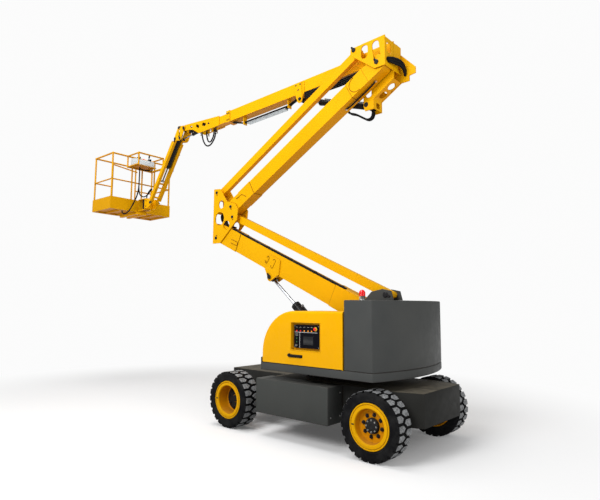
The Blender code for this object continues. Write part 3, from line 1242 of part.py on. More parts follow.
def guard(xa, y_at, top, under):
    """A loop each side of the console, joined by a bar along the rear, and the console's tray."""
    r = POST_SHARE * RAIL_RADIUS
    rear = xa - CONSOLE_REACH
    shapes = []
    for share in GUARD_SHARES:
        y = y_at(share)
        shapes.append(bar((xa, y, top), (rear, y, top), r))
        shapes.append(bar((rear, y, top + r), (rear, y, under - r), r))
        shapes.append(bar((rear, y, under), (xa, y, under), r))
        shapes.append(bar((xa, y, under - r), (xa, y, top), r))
    first, last = (y_at(share) for share in GUARD_SHARES)
    shapes.append(bar((rear, first, top), (rear, last, top), r))
    high = under + TRAY_LIFT - SEAT_GAP
    tray_x = xa - TRAY_REACH_SHARE * CONSOLE_REACH
    left, right = (y_at(share) for share in TRAY_SIDE_SHARES)
    shapes.append(box(tray_x, xa - RAIL_RADIUS / 2, right, left, high - THIN_PLATE, high))
    stay = STAY_SHARE * RAIL_RADIUS
    for share in TRAY_STAY_SHARES:
        y = y_at(share)
        shapes.append(bar((xa, y, under), (tray_x, y, high - THIN_PLATE / 2 - stay), stay))
    shapes.append(bar((xa, first, under), (xa, last, under), MID_RAIL_SHARE * RAIL_RADIUS))
    return shapes


def console(xa, y_at, top, under):
    """The platform controls: a box with a sloping face, on a tray that is fixed to the rear rail."""
    y1, y0 = (y_at(share) for share in CONSOLE_SIDE_SHARES)
    x1 = xa - RAIL_RADIUS * 2
    x0 = xa - CONSOLE_REACH_SHARE * CONSOLE_REACH
    low = under + TRAY_LIFT
    rear, front = (low + share * (top - under) for share in CONSOLE_FACE_SHARES)
    outline = ((x0, low), (x1, low), (x1, front), (x0 + CONSOLE_SLOPE, rear))
    fuse("console", "basket", "console", [prism(outline, y0, y1)])


def basket_bracket(x0, floor):
    """A fork round the rotator, on two beams that run under the floor."""
    mid = MOUNT_PIN[1] + ROTATOR_DZ
    half = ROTATOR_HEIGHT / 2 + SEAT_GAP
    wide = BRACKET_WIDTH_SHARE * ROTATOR_RADIUS
    back = ROTATOR_X - ROTATOR_RADIUS
    post = x0 - SEAT_GAP
    beam_low = floor - SEAT_GAP - BEAM_DEPTH_SHARE * FLOOR_BAR
    shapes = [box(back, post, BOOM_Y - wide, BOOM_Y + wide, mid + half, mid + half + PLATE),
              box(back, post, BOOM_Y - wide, BOOM_Y + wide, mid - half - PLATE, mid - half),
              box(post - PLATE, post, BOOM_Y - wide, BOOM_Y + wide, beam_low, mid + half + PLATE)]
    beam_end = x0 + BEAM_LENGTH_SHARE * BASKET_LENGTH
    for side in (1, -1):
        y0, y1 = sorted((BOOM_Y + side * (wide - FLOOR_BAR), BOOM_Y + side * (wide + FLOOR_BAR)))
        shapes.append(box(post - PLATE, beam_end, y0, y1, beam_low, floor - SEAT_GAP))
    fuse("basket_bracket", "basket", "yellow", shapes)


def gate(xb, g0, g1, top):
    """The entrance bar: hinged at one gate post just under the top rail, lying at a slight slope."""
    r = MID_RAIL_SHARE * RAIL_RADIUS
    x = xb - RAIL_RADIUS - r - CLEAR
    z = top - RAIL_RADIUS - 2 * r
    start_body("gate_bar", (x, g0, z), "basket")
    drop = GATE_SLOPE * (g0 - g1)
    boss = bar((x, g0, z), (xb - POST_SHARE * RAIL_RADIUS - SEAT_GAP, g0, z), POST_SHARE * r)
    fuse("gate_bar", "gate_bar", "yellow", [bar((x, g0 + r, z), (x, g1 - r, z - drop), r), boss])


def cylinders():
    cylinder("riser_cylinder", "turret", RISER_CYLINDER_BASE, RISER_EYE, 0, RISER_BARREL,
             RISER_BARREL_RADIUS, RISER_ROD_RADIUS, RISER_ROD_INSIDE, BOSS_REACH,
             RISER_WIDTH / 2 - LAP - SEAT_GAP)
    boom_gap = BOOM_Y - BOOM_WIDTH / 2 - CLEAR
    middle = (boom_gap - PLATE_Y) / 2
    half = (-PLATE_Y - boom_gap) / 2 - SEAT_GAP
    cylinder("boom_cylinder", "top_knuckle", BOOM_CYLINDER_BASE, BOOM_EYE, middle, BOOM_BARREL,
             BOOM_BARREL_RADIUS, BOOM_ROD_RADIUS, BOOM_ROD_INSIDE, half, BOOM_WIDTH / 2 - CLEAR - LAP)
    cylinder("jib_cylinder", "jib_link", LINK_UPPER, JIB_EYE, BOOM_Y, JIB_BARREL, JIB_BARREL_RADIUS,
             JIB_ROD_RADIUS, JIB_ROD_INSIDE, LINK_PLATE_Y - LINK_PLATE - SEAT_GAP, JIB_EAR_INNER / 2,
             JIB_PIN_RADIUS)
    cylinder("level_cylinder", "inner_boom", LEVEL_BASE, LINK_LEVEL, BOOM_Y, LEVEL_BARREL,
             LEVEL_BARREL_RADIUS, LEVEL_ROD_RADIUS, LEVEL_ROD_INSIDE, INNER_WIDTH / 2 - LAP - SEAT_GAP,
             JIB_EAR_INNER / 2, JIB_PIN_RADIUS)


def smooth_route(points, step):
    """Evenly spaced points on a smooth curve through a route's own points."""
    ends = [2 * points[0] - points[1]] + points + [2 * points[-1] - points[-2]]
    fine = []
    for a, b, c, d in zip(ends, ends[1:], ends[2:], ends[3:]):
        for i in range(CURVE_STEPS):
            u = i / CURVE_STEPS
            fine.append(0.5 * (2 * b + (c - a) * u + (2 * a - 5 * b + 4 * c - d) * u ** 2
                               + (3 * b - a - 3 * c + d) * u ** 3))
    fine.append(points[-1])
    route, walked = [fine[0]], 0.0
    for a, b in zip(fine, fine[1:]):
        walked += (b - a).length
        if walked >= step:
            route.append(b)
            walked = 0.0
    if (route[-1] - fine[-1]).length < step / 2:
        route.pop()
    return route + [fine[-1]]


def hose(name, body, points, radius):
    """A round hose along a route, a curve with closed ends that stand square to what they meet."""
    points = [Vector(p) for p in points]
    route = points[:1] + smooth_route(points[1:-1], HOSE_STEP_SHARE * radius) + points[-1:]
    curve = bpy.data.curves.new(name, "CURVE")
    curve.dimensions = "3D"
    curve.bevel_depth = radius
    curve.bevel_resolution = 2
    curve.use_fill_caps = True
    spline = curve.splines.new("POLY")
    spline.points.add(len(route) - 1)
    empty, pivot = bodies[body]
    for point, place in zip(spline.points, route):
        point.co = (*(place - pivot), 1)
    curve.materials.append(material("rubber"))
    made = bpy.data.objects.new(name, curve)
    bpy.context.scene.collection.objects.link(made)
    made.parent = empty


def hoses():
    """Hoses that hang in loops under the boom's head and at the top knuckle, and the console's cable."""
    under = HEAD_FOOT_SHARE * BOOM_HEIGHT - RUN_GAP
    for name, side, route in HEAD_HOSE_ROUTES:
        y = BOOM_Y + side * (HEAD_PLATE_Y - HOSE_RADIUS)
        ends = [BOOM.at(route[i][0], under) for i in (0, -1)]
        places = ends[:1] + [BOOM.at(s, h) for s, h in route] + ends[1:]
        hose(name, "inner_boom", [(x, y, z) for x, z in places], HOSE_RADIUS)
    under = UPPER_HEIGHT / 2 + RUN_GAP
    ends = [UPPER_RISER.at(KNUCKLE_HOSE_ROUTE[i][0], under) for i in (0, -1)]
    places = ends[:1] + [UPPER_RISER.at(s, -h) for s, h in KNUCKLE_HOSE_ROUTE] + ends[1:]
    hose("hose_knuckle", "upper_riser", [(x, 0, z) for x, z in places], HOSE_RADIUS)
    x, y, z = BASKET_REAR, BOOM_Y, BASKET_FLOOR
    under = z + BASKET_RAIL_HEIGHT - GUARD_DROP_SHARE * BASKET_RAIL_HEIGHT
    tray = under + TRAY_LIFT - THIN_PLATE - SEAT_GAP - RUN_GAP
    start = CABLE_ROUTE[0]
    end = CABLE_ROUTE[-1]
    points = [(x + start[0], y + start[1], tray)] + [(x + a, y + b, z + c) for a, b, c in CABLE_ROUTE]
    points.append((x + end[0], y + end[1], z - RUN_GAP))
    hose("cable_console", "basket", points, CABLE_SHARE * HOSE_RADIUS)


def stand_on_origin():
    """Shifts the machine so that the origin is on the floor, under the middle of its box."""
    bpy.context.view_layer.update()
    graph = bpy.context.evaluated_depsgraph_get()
    far = float("inf")
    low, high = Vector((far, far, far)), Vector((-far, -far, -far))
    for made in bpy.data.objects:
        if made.type == "EMPTY":
            continue
        shown = made.evaluated_get(graph)
        for vertex in shown.to_mesh().vertices:
            place = shown.matrix_world @ vertex.co
            low = Vector(map(min, low, place))
            high = Vector(map(max, high, place))
        shown.to_mesh_clear()
    bodies["machine"][0].location = (-(low.x + high.x) / 2, -(low.y + high.y) / 2, -low.z)


def build():
    clear_scene()
    start_body("machine", (0, 0, 0))
    chassis()
    steering()
    wheels()
    turret()
    lower_riser()
    lower_knuckle()
    ties()
    upper_riser()
    top_knuckle()
    main_boom()
    inner_boom()
    jib_link()
    jib_arm()
    basket_mount()
    basket()
    cylinders()
    hoses()
    stand_on_origin()


build()
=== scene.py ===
"""The articulating boom lift's finished look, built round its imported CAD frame.

Metres. Places are given from the rear axle, as in the part's source: X from the axle towards the
platform, Y from the centre plane to the machine's left, Z from the floor. place() sets them in the
frame's own world.
"""
import bpy
import bmesh
from math import cos, sin, pi, radians, degrees, atan2
from mathutils import Matrix, Vector


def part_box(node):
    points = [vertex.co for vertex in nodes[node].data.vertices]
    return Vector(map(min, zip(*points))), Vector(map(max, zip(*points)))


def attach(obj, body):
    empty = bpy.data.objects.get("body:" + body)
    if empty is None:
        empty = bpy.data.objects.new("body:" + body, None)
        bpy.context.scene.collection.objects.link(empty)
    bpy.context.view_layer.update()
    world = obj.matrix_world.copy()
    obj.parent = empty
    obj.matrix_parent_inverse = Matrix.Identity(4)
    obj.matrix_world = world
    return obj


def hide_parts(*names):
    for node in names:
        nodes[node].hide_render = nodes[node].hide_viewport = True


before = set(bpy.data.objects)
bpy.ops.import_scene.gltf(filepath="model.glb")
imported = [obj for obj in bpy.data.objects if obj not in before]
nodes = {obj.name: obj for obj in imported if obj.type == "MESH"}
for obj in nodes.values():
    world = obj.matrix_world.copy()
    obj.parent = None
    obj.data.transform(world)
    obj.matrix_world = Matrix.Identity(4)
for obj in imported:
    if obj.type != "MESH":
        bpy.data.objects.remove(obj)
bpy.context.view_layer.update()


# ---- Camera
# It stands at a person's eye height to the machine's left rear, with a short lens. Its place and
# direction were fitted to the photograph.
rear_tyre_low, rear_tyre_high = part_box("tyre_rl")
AXLE_X = (rear_tyre_low.x + rear_tyre_high.x) / 2
CENTRE_Y = (rear_tyre_high.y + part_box("tyre_rr")[0].y) / 2


def place(x, y, z):
    """A place given from the rear axle, in the frame's world."""
    return Vector((x + AXLE_X, y + CENTRE_Y, z))


def link(name, data):
    made = bpy.data.objects.new(name, data)
    bpy.context.scene.collection.objects.link(made)
    return made


CAMERA_PLACE = (-2.853, 5.209, 1.578)
CAMERA_YAW, CAMERA_PITCH, CAMERA_ROLL = -0.856, 0.1078, 0.0056
FOCAL_PIXELS, VIEW_WIDTH = 498.34, 600
forward = Vector((cos(CAMERA_YAW), sin(CAMERA_YAW), 0)) * cos(CAMERA_PITCH)
forward.z = sin(CAMERA_PITCH)
level_right = Vector((sin(CAMERA_YAW), -cos(CAMERA_YAW), 0))
level_up = level_right.cross(forward)
right = cos(CAMERA_ROLL) * level_right + sin(CAMERA_ROLL) * level_up
up = cos(CAMERA_ROLL) * level_up - sin(CAMERA_ROLL) * level_right
lens = bpy.data.cameras.new("camera")
lens.sensor_width = 36
lens.lens = FOCAL_PIXELS / VIEW_WIDTH * lens.sensor_width
lens.shift_x, lens.shift_y = 0.003, 0.0012
camera = link("camera", lens)
facing = Matrix((right, up, -forward)).transposed().to_4x4()
camera.matrix_world = Matrix.Translation(place(*CAMERA_PLACE)) @ facing
bpy.context.scene.camera = camera


# ---- Studio
# A pale floor that fades into an even white sky, as a paper sweep does, with large soft lamps: a key
# high on the machine's left, a weaker fill from behind and one straight above.
def fill(made, **inputs):
    """Sets a node's inputs, by name or i and number, to values, or links them to sockets."""
    for name, value in inputs.items():
        socket = made.inputs[int(name[1:])] if name[1:].isdigit() else made.inputs[name.replace("_", " ")]
        if isinstance(value, bpy.types.NodeSocket):
            made.id_data.links.new(value, socket)
        else:
            socket.default_value = value
    return made


def node(tree, kind, operation=None, **inputs):
    made = tree.nodes.new(kind if "Node" in kind else "ShaderNode" + kind)
    if operation:
        made.operation = operation
    return fill(made, **inputs)


def between(factor, first, second):
    """A colour between two by a factor; each is a colour or a socket."""
    made = node(factor.id_data, "Mix")
    made.data_type = "RGBA"
    first, second = (c if isinstance(c, bpy.types.NodeSocket) else (*c, 1) for c in (first, second))
    return fill(made, i0=factor, i6=first, i7=second).outputs[2]


def blank_finish(name):
    """A material with its tree, its shader and the object's own coordinates."""
    made = bpy.data.materials.new(name)
    made.use_nodes = True
    tree = made.node_tree
    return made, tree, tree.nodes["Principled BSDF"], node(tree, "TexCoord").outputs["Object"]


FLOOR_REACH, FLOOR_TONE, SKY_TONE = 90, (0.96, 0.96, 0.96), (0.97, 0.97, 0.97)
FADE_START, FADE_END, FLOOR_GLOW = 2.6, 6.4, 0.07
SKY_GLOW, BOUNCE_SHARE = 0.33, 0.28
floor_mesh = bpy.data.meshes.new("studio_floor")
corners = [(x * FLOOR_REACH, y * FLOOR_REACH, 0) for x, y in ((-1, -1), (1, -1), (1, 1), (-1, 1))]
floor_mesh.from_pydata(corners, [], [(0, 1, 2, 3)])
paper, tree, shader, where = blank_finish("studio_paper")
away = node(tree, "VectorMath", "LENGTH", i0=where).outputs["Value"]
fade = node(tree, "MapRange", Value=away, From_Min=FADE_START, From_Max=FADE_END, To_Min=FLOOR_GLOW)
fade.interpolation_type = "SMOOTHSTEP"
seen = node(tree, "LightPath").outputs["Is Camera Ray"]
dim = [tone * BOUNCE_SHARE for tone in FLOOR_TONE]
colour = between(seen, dim, between(fade.outputs["Result"], FLOOR_TONE, (0, 0, 0)))
fill(shader, Roughness=1.0, Specular_IOR_Level=0.0, Emission_Color=(*SKY_TONE, 1), Base_Color=colour,
     Emission_Strength=fade.outputs["Result"])
floor_mesh.materials.append(paper)
link("studio_floor", floor_mesh)

sky = bpy.data.worlds.new("studio_sky")
sky.use_nodes = True
tree = sky.node_tree
lighting = fill(tree.nodes["Background"], Color=(1.0, 1.0, 1.0, 1), Strength=SKY_GLOW)
behind = node(tree, "Background", Color=(*SKY_TONE, 1))
ray = node(tree, "LightPath").outputs["Is Camera Ray"]
choice = node(tree, "MixShader", Fac=ray, i1=lighting.outputs[0], i2=behind.outputs[0])
fill(tree.nodes["World Output"], Surface=choice.outputs[0])
bpy.context.scene.world = sky
bpy.context.scene.view_settings.view_transform = "Standard"

LAMPS = (
    # name, place, aim, size across, watts
    ("key", (1.5, 9.0, 7.5), (1.5, 0.0, 2.0), 5.0, 690),
    ("fill", (-7.0, 1.0, 4.5), (0.5, 0.0, 1.5), 5.0, 110),
    ("top", (3.0, 1.5, 11.0), (2.0, 0.0, 2.5), 6.0, 480),
)
for name, spot, aim, size, watts in LAMPS:
    light = bpy.data.lights.new(name, "AREA")
    light.shape, light.size, light.energy = "DISK", size, watts
    lamp = link(name, light)
    lamp.location = place(*spot)
    lamp.rotation_euler = (Vector(aim) - Vector(spot)).to_track_quat("-Z", "Y").to_euler()


# ---- Chassis frame
# A welded steel box frame, wide at the drive axle and narrow between the steered wheels, in a
# near-black that dust lies on, darker than the side boxes. Its sharp edges are broken.
SLOTS = {}
CREVICE_SHADE = (0.03, 0.018, 0.008)
UNDERSIDE_SHADE = (0.72, 0.52, 0.5)


def noise(where, scale, detail=4.0, roughness=0.5):
    return node(where.id_data, "TexNoise", Vector=where, Scale=scale, Detail=detail,
                Roughness=roughness).outputs["Fac"]


def spread(value, low, high, to_low=0.0, to_high=1.0):
    """A value mapped from one span to another, kept inside it."""
    return node(value.id_data, "MapRange", Value=value, i1=low, i2=high, i3=to_low,
                i4=to_high).outputs["Result"]


def product(first, second):
    return node(first.id_data, "Math", "MULTIPLY", i0=first, i1=second).outputs[0]


def sprayed_paint(name, slot, colour, shade, dust, gloss, coat, dust_amount, worn=None, wear_and_highlight_amount=0.0):
    """Paint: drifting tone, dust on top, painted shade below and in corners, orange peel, and edges
    worn on some paints and painted with a highlight on others.
    """
    made, tree, shader, where = blank_finish(name)
    SLOTS[name] = slot
    tone = between(spread(noise(where, 1.7, 3.0), 0.35, 0.65), colour, shade)
    patches = noise(where, 11.0, 8.0, 0.6)
    facing = node(tree, "NewGeometry").outputs["Normal"]
    upward = node(tree, "SeparateXYZ", Vector=facing).outputs["Z"]
    lying = product(spread(upward, 0.5, 1.0, 0.0, dust_amount), spread(patches, 0.3, 0.7, 0.3))
    tone = between(lying, tone, dust)
    # Faces turned down are darkened towards a redder tone: painted shade.
    under = [channel * share for channel, share in zip(colour, UNDERSIDE_SHADE)]
    tone = between(spread(upward, -1.0, -0.15, 0.85, 0.0), tone, under)
    # The AO node darkens hollows and corners towards this colour: painted shade.
    hollow = node(tree, "AmbientOcclusion", Distance=0.035)
    hollow.samples = 6
    tone = between(spread(hollow.outputs["AO"], 0.25, 0.75, 0.55, 0.0), tone, CREVICE_SHADE)
    rounded = node(tree, "Bevel", Radius=0.005)
    rounded.samples = 4
    # Edge colour, in patches: wear on some paints, a painted highlight on others.
    if worn:
        turned_away = node(tree, "VectorMath", "DOT_PRODUCT", i0=rounded.outputs["Normal"], i1=facing)
        at_edge = spread(turned_away.outputs["Value"], 0.86, 0.99, wear_and_highlight_amount, 0.0)
        tone = between(product(at_edge, spread(patches, 0.42, 0.6)), tone, worn)
    peel = node(tree, "Bump", Height=noise(where, 260.0, 2.0), Strength=0.12, Distance=0.0006,
                Normal=rounded.outputs["Normal"])
    fill(shader, Base_Color=tone, Roughness=spread(patches, 0.3, 0.7, gloss - 0.05, gloss + 0.1),
         Specular_IOR_Level=0.06, Coat_Weight=coat, Coat_Roughness=0.1, Normal=peel.outputs["Normal"])
    return made


def eased(bm, width, segments=2, angle=25, chosen=None):
    """Rounds the edges sharper than an angle, or those of them that a test of their ends picks."""
    edges = [e for e in bm.edges if len(e.link_faces) == 2 and e.calc_face_angle() > radians(angle)
             and (chosen is None or chosen(*(v.co for v in e.verts)))]
    bmesh.ops.bevel(bm, geom=edges, offset=width, segments=segments, profile=0.5, affect="EDGES",
                    clamp_overlap=True)
    return bm


def frame_copy(name):
    """A CAD node's shape as one closed skin, in sizes from the rear axle."""
    bm = bmesh.new()
    bm.from_mesh(nodes[name].data)
    bmesh.ops.transform(bm, matrix=Matrix.Translation(-place(0, 0, 0)), verts=bm.verts)
    bmesh.ops.remove_doubles(bm, verts=bm.verts, dist=1e-5)
    bmesh.ops.dissolve_limit(bm, angle_limit=radians(0.5), verts=bm.verts, edges=bm.edges)
    return bm


def joined(shapes, mesh):
    """Shapes as one, by way of a mesh that holds each in turn."""
    whole = bmesh.new()
    for shape in shapes:
        shape.to_mesh(mesh)
        whole.from_mesh(mesh)
        shape.free()
    return whole


def piece(name, body, shapes, finish, replaced=(), sharp=38, slot=None):
    """One object from its shapes, in its place, on its body, in its finish."""
    mesh = bpy.data.meshes.new(name)
    whole = joined(shapes, mesh)
    bmesh.ops.transform(whole, matrix=Matrix.Translation(place(0, 0, 0)), verts=whole.verts)
    whole.to_mesh(mesh)
    whole.free()
    mesh.materials.clear()
    mesh.materials.append(finish)
    mesh.shade_smooth()
    mesh.set_sharp_from_angle(angle=radians(sharp))
    made = link(name, mesh)
    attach(made, body)
    slot or SLOTS[finish.name]
    if replaced:
        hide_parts(*replaced)


frame_black = sprayed_paint("frame_black", "grey_paint", (0.022, 0.022, 0.02), (0.03, 0.03, 0.028),
                            (0.2, 0.175, 0.13), 0.5, 0.0, 0.75)
piece("chassis_body", "chassis", [eased(frame_copy("chassis_frame"), 0.006)], frame_black, ["chassis_frame"])


# ---- Side boxes
# Sheet-steel boxes between the wheels, for batteries and tools: plain grey faces with rounded edges
# that are painted paler, as wear and as a painted highlight, screwed to the frame at their ends.
def lofted(rings, ring_shaped=False):
    """A closed solid through rings of as many points each, with two caps or joined to its own start."""
    bm = bmesh.new()
    made = [[bm.verts.new(point) for point in ring] for ring in rings]
    for low, high in zip(made, made[1:] + made[:1] if ring_shaped else made[1:]):
        for i in range(len(low)):
            j = (i + 1) % len(low)
            bm.faces.new((low[i], low[j], high[j], high[i]))
    if ring_shaped:
        bmesh.ops.remove_doubles(bm, verts=bm.verts, dist=3e-5)
    else:
        bm.faces.new(made[0])
        bm.faces.new(made[-1])
    bmesh.ops.recalc_face_normals(bm, faces=bm.faces)
    return bm


def circle(centre, axis, radius, steps):
    axis = Vector(axis).normalized()
    side = Vector((1, 0, 0)) if abs(axis.x) < 0.9 else Vector((0, 1, 0))
    side = (side - axis * side.dot(axis)).normalized()
    other = axis.cross(side)
    turns = [2 * pi * i / steps for i in range(steps)]
    return [Vector(centre) + radius * (cos(t) * side + sin(t) * other) for t in turns]


def rod(start, end, radius, steps=20):
    axis = Vector(end) - Vector(start)
    return lofted([circle(point, axis, radius, steps) for point in (start, end)])


def moved(bm, x, y, z):
    bmesh.ops.translate(bm, vec=(x, y, z), verts=bm.verts)
    return bm


def hex_bolt(across, height, direction=None):
    """A hexagon head on a washer, standing on the zero point, pointing up Z or another way."""
    head = eased(rod((0, 0, height * 0.25), (0, 0, height), across / 2, 6), across * 0.06, 1)
    washer = rod((0, 0, 0), (0, 0, height * 0.27), across * 0.72, 12)
    bolt = joined([head, washer], bpy.data.meshes.new("bolt"))
    if direction:
        turn = Vector(direction).to_track_quat("Z", "Y").to_matrix()
        bmesh.ops.rotate(bolt, matrix=turn, verts=bolt.verts)
    return bolt


def bolt_row(places, direction, across=0.018, height=0.01):
    """Hexagon bolts standing at places, all pointing one way."""
    return [moved(hex_bolt(across, height, direction), *spot) for spot in places]


def plated(name, colour, rough):
    """Bare or plated metal, faintly cloudy."""
    made, tree, shader, where = blank_finish(name)
    SLOTS[name] = "chrome"
    cloud = noise(where, 45.0, 5.0)
    fill(shader, Metallic=1.0, Roughness=spread(cloud, 0.3, 0.7, rough * 0.7, rough * 1.4),
         Base_Color=between(spread(cloud, 0.3, 0.7), colour, [c * 0.8 for c in colour]))
    return made


box_grey = sprayed_paint("box_grey", "grey_paint", (0.058, 0.061, 0.058), (0.068, 0.071, 0.067),
                         (0.15, 0.145, 0.13), 0.44, 0.0, 0.6, (0.2, 0.2, 0.19), 0.5)
bolt_zinc = plated("bolt_zinc", (0.55, 0.55, 0.53), 0.34)
for side, name in ((1, "side_box_left"), (-1, "side_box_right")):
    piece(name + "_shell", "chassis", [eased(frame_copy(name), 0.01, 3)], box_grey, [name])
    bolts = []
    for end, out in ((0.54, -1), (1.65, 1)):
        bolts += bolt_row([(end, side * y, z) for y, z in ((0.575, 0.6), (0.575, 0.35), (0.745, 0.35))],
                          (out, 0, 0), 0.014, 0.007)
    piece(name + "_screws", "chassis", bolts, bolt_zinc)


# ---- Slew ring
# A geared bearing ring between the frame and the turret, bolted down all round, with grease on it.
def painted(finish, *names):
    """Gives CAD nodes that stay in view their finish."""
    for name in names:
        nodes[name].data.materials.clear()
        nodes[name].data.materials.append(finish)


def lathe(profile, centre, axis=(0, 1, 0), steps=64):
    """A turned ring: its closed profile holds radius and reach along the axis."""
    axis = Vector(axis).normalized()
    return lofted([circle(Vector(centre) + axis * reach, axis, max(radius, 1e-5), steps)
                   for radius, reach in profile], ring_shaped=True)


def repeat_tree():
    """Geometry nodes that set copies of a part, each a turn further round an axis."""
    tree = bpy.data.node_groups.new("repeated_part", "GeometryNodeTree")
    tree.interface.new_socket("Geometry", in_out="OUTPUT", socket_type="NodeSocketGeometry")
    for label, kind in (("Part", "Object"), ("Finish", "Material"), ("Count", "Int"), ("Start", "Vector"),
                        ("Axis", "Vector"), ("Turn", "Float")):
        tree.interface.new_socket(label, in_out="INPUT", socket_type="NodeSocket" + kind)
    given = node(tree, "NodeGroupInput").outputs
    line = node(tree, "GeometryNodeMeshLine", Count=given["Count"], Start_Location=given["Start"],
                Offset=(0, 0, 0))
    info = node(tree, "GeometryNodeObjectInfo", Object=given["Part"])
    number = node(tree, "GeometryNodeInputIndex").outputs["Index"]
    facing = node(tree, "FunctionNodeAxisAngleToRotation", Axis=given["Axis"],
                  Angle=product(number, given["Turn"]))
    copies = node(tree, "GeometryNodeInstanceOnPoints", Points=line.outputs["Mesh"],
                  Instance=info.outputs["Geometry"], Rotation=facing.outputs["Rotation"])
    solid = node(tree, "GeometryNodeRealizeInstances", Geometry=copies.outputs["Instances"])
    finished = node(tree, "GeometryNodeSetMaterial", Geometry=solid.outputs["Geometry"],
                    Material=given["Finish"])
    node(tree, "NodeGroupOutput", Geometry=finished.outputs["Geometry"])
    return tree


REPEAT = repeat_tree()


def loose(bm):
    """A shape as an object of its own, for a modifier to work on."""
    mesh = bpy.data.meshes.new("loose")
    bm.to_mesh(mesh)
    bm.free()
    return link("loose", mesh)


def baked(host, other):
    """The shape that a loose object's modifier gives; both loose objects go."""
    mesh = bpy.data.meshes.new_from_object(host.evaluated_get(bpy.context.evaluated_depsgraph_get()))
    host.modifiers.clear()
    bm = bmesh.new()
    bm.from_mesh(mesh)
    for spent in (host, other):
        bpy.data.objects.remove(spent)
    return bm


def repeated(part, finish, count, start, axis=(0, 1, 0)):
    """Copies of a part modelled round the zero point, turned evenly about an axis, as one shape."""
    one, host = loose(part), loose(bmesh.new())
    modifier = host.modifiers.new("repeat", "NODES")
    modifier.node_group = REPEAT
    given = {"Part": one, "Finish": finish, "Count": count, "Start": start, "Axis": axis,
             "Turn": 2 * pi / count}
    for item in REPEAT.interface.items_tree:
        if item.in_out == "INPUT":
            modifier[item.identifier] = given[item.name]
    return baked(host, one)


SLEW_X, SLEW_RADIUS, TOOTH = 0.95, 0.36, 0.012
greasy_steel = sprayed_paint("greasy_steel", "dark_steel", (0.02, 0.019, 0.018), (0.04, 0.036, 0.03),
                             (0.12, 0.11, 0.09), 0.32, 0.0, 0.5)
painted(greasy_steel, "slew_ring")
tooth = lofted([[(SLEW_RADIUS - 0.002, -TOOTH, z), (SLEW_RADIUS + 0.022, -TOOTH / 2, z),
                 (SLEW_RADIUS + 0.022, TOOTH / 2, z), (SLEW_RADIUS - 0.002, TOOTH, z)] for z in (0, 0.045)])
teeth = repeated(tooth, greasy_steel, 72, (SLEW_X, 0, 0.715), (0, 0, 1))
ring = lathe([(0.3, 0), (0.43, 0), (0.43, 0.014), (0.3, 0.014)], (SLEW_X, 0, 0.6805), (0, 0, 1), 72)
ring_bolt = moved(hex_bolt(0.026, 0.016), 0.408, 0, 0)
ring_bolts = repeated(ring_bolt, greasy_steel, 28, (SLEW_X, 0, 0.6945), (0, 0, 1))
piece("slew_gear", "chassis", [teeth, ring], greasy_steel)
piece("slew_bolts", "chassis", [ring_bolts], greasy_steel)


# ---- Axles and steering
# Cast and forged steel under the frame, brushed over in black. The drive axle has a round gear case
# with a bolted cover, each kingpin a round cap above and below, and a steering ram lies in front.
def block(x0, x1, y0, y1, z0, z1):
    return lofted([[(x0, y0, z), (x1, y0, z), (x1, y1, z), (x0, y1, z)] for z in (z0, z1)])


axle_black = sprayed_paint("axle_black", "dark_steel", (0.016, 0.016, 0.017), (0.028, 0.028, 0.029),
                           (0.1, 0.09, 0.08), 0.5, 0.0, 0.5)
painted(axle_black, "rear_axle", "front_axle", "steer_knuckle_fl", "steer_knuckle_fr", "tie_rod")
WHEELBASE, CASE_Y, CASE_Z = 2.15, 0.06, 0.325
case = lathe([(0, -0.15), (0.07, -0.145), (0.105, -0.11), (0.112, 0), (0.105, 0.11), (0.07, 0.145),
              (0, 0.15)], (0, CASE_Y, CASE_Z), steps=32)
cover = lathe([(0, 0), (0.085, 0), (0.085, 0.02), (0.06, 0.045), (0, 0.05)], (0.1, CASE_Y, CASE_Z),
              (1, 0, 0), 32)
cover_bolts = repeated(moved(hex_bolt(0.014, 0.01, (1, 0, 0)), 0, 0.072, 0), bolt_zinc, 10,
                       (0.118, CASE_Y, CASE_Z), (1, 0, 0))
piece("drive_axle_case", "chassis", [case, cover], axle_black)
piece("drive_axle_bolts", "chassis", [cover_bolts], bolt_zinc)
steering = [lathe([(0, 0), (0.04, 0), (0.04, 0.006), (0.03, 0.014), (0, 0.016)],
                  (WHEELBASE, side * 0.5, z), (0, 0, out), 20)
            for side in (-1, 1) for z, out in ((0.491, 1), (0.219, -1))]
for half, radius, steps in ((0.2, 0.028, 24), (0.34, 0.012, 16)):
    steering.append(rod((WHEELBASE + 0.09, -half, 0.39), (WHEELBASE + 0.09, half, 0.39), radius, steps))
for y in (-0.17, 0.13):
    steering.append(block(WHEELBASE + 0.06, WHEELBASE + 0.12, y, y + 0.04, 0.35, 0.42))
piece("steering_ram", "chassis", steering, axle_black)


# ---- Tyres
# Solid block-tread tyres. Two rows of five-sided blocks point at each other across a zigzag groove,
# half a pitch apart, and their faces are worn to a dusty grey.
WHEEL_Y, TYRE_RADIUS, PITCHES, FACE_SHARE = 0.705, 0.355, 24, 0.9
WHEELS = [(name, x, side, (x, side * WHEEL_Y, TYRE_RADIUS)) for name, x, side in
          (("rl", 0.0, 1), ("rr", 0.0, -1), ("fl", WHEELBASE, 1), ("fr", WHEELBASE, -1))]
CARCASS = ((0.2375, -0.104), (0.243, -0.117), (0.258, -0.121), (0.264, -0.118), (0.3, -0.1235),
           (0.324, -0.121), (0.334, -0.11), (0.3345, 0.0), (0.334, 0.11), (0.324, 0.121), (0.3, 0.1235),
           (0.264, 0.118), (0.258, 0.121), (0.243, 0.117), (0.2375, 0.104))
BLOCK = (
    # share of the pitch, reach and radius of each corner of the base, then reach at the worn face
    (-0.38, 0.1245, 0.306, 0.112), (0.0, 0.1245, 0.306, 0.113), (0.38, 0.1245, 0.306, 0.112),
    (0.38, 0.034, 0.3335, 0.038), (0.02, -0.006, 0.3335, 0.0), (-0.38, 0.034, 0.3335, 0.038),
)


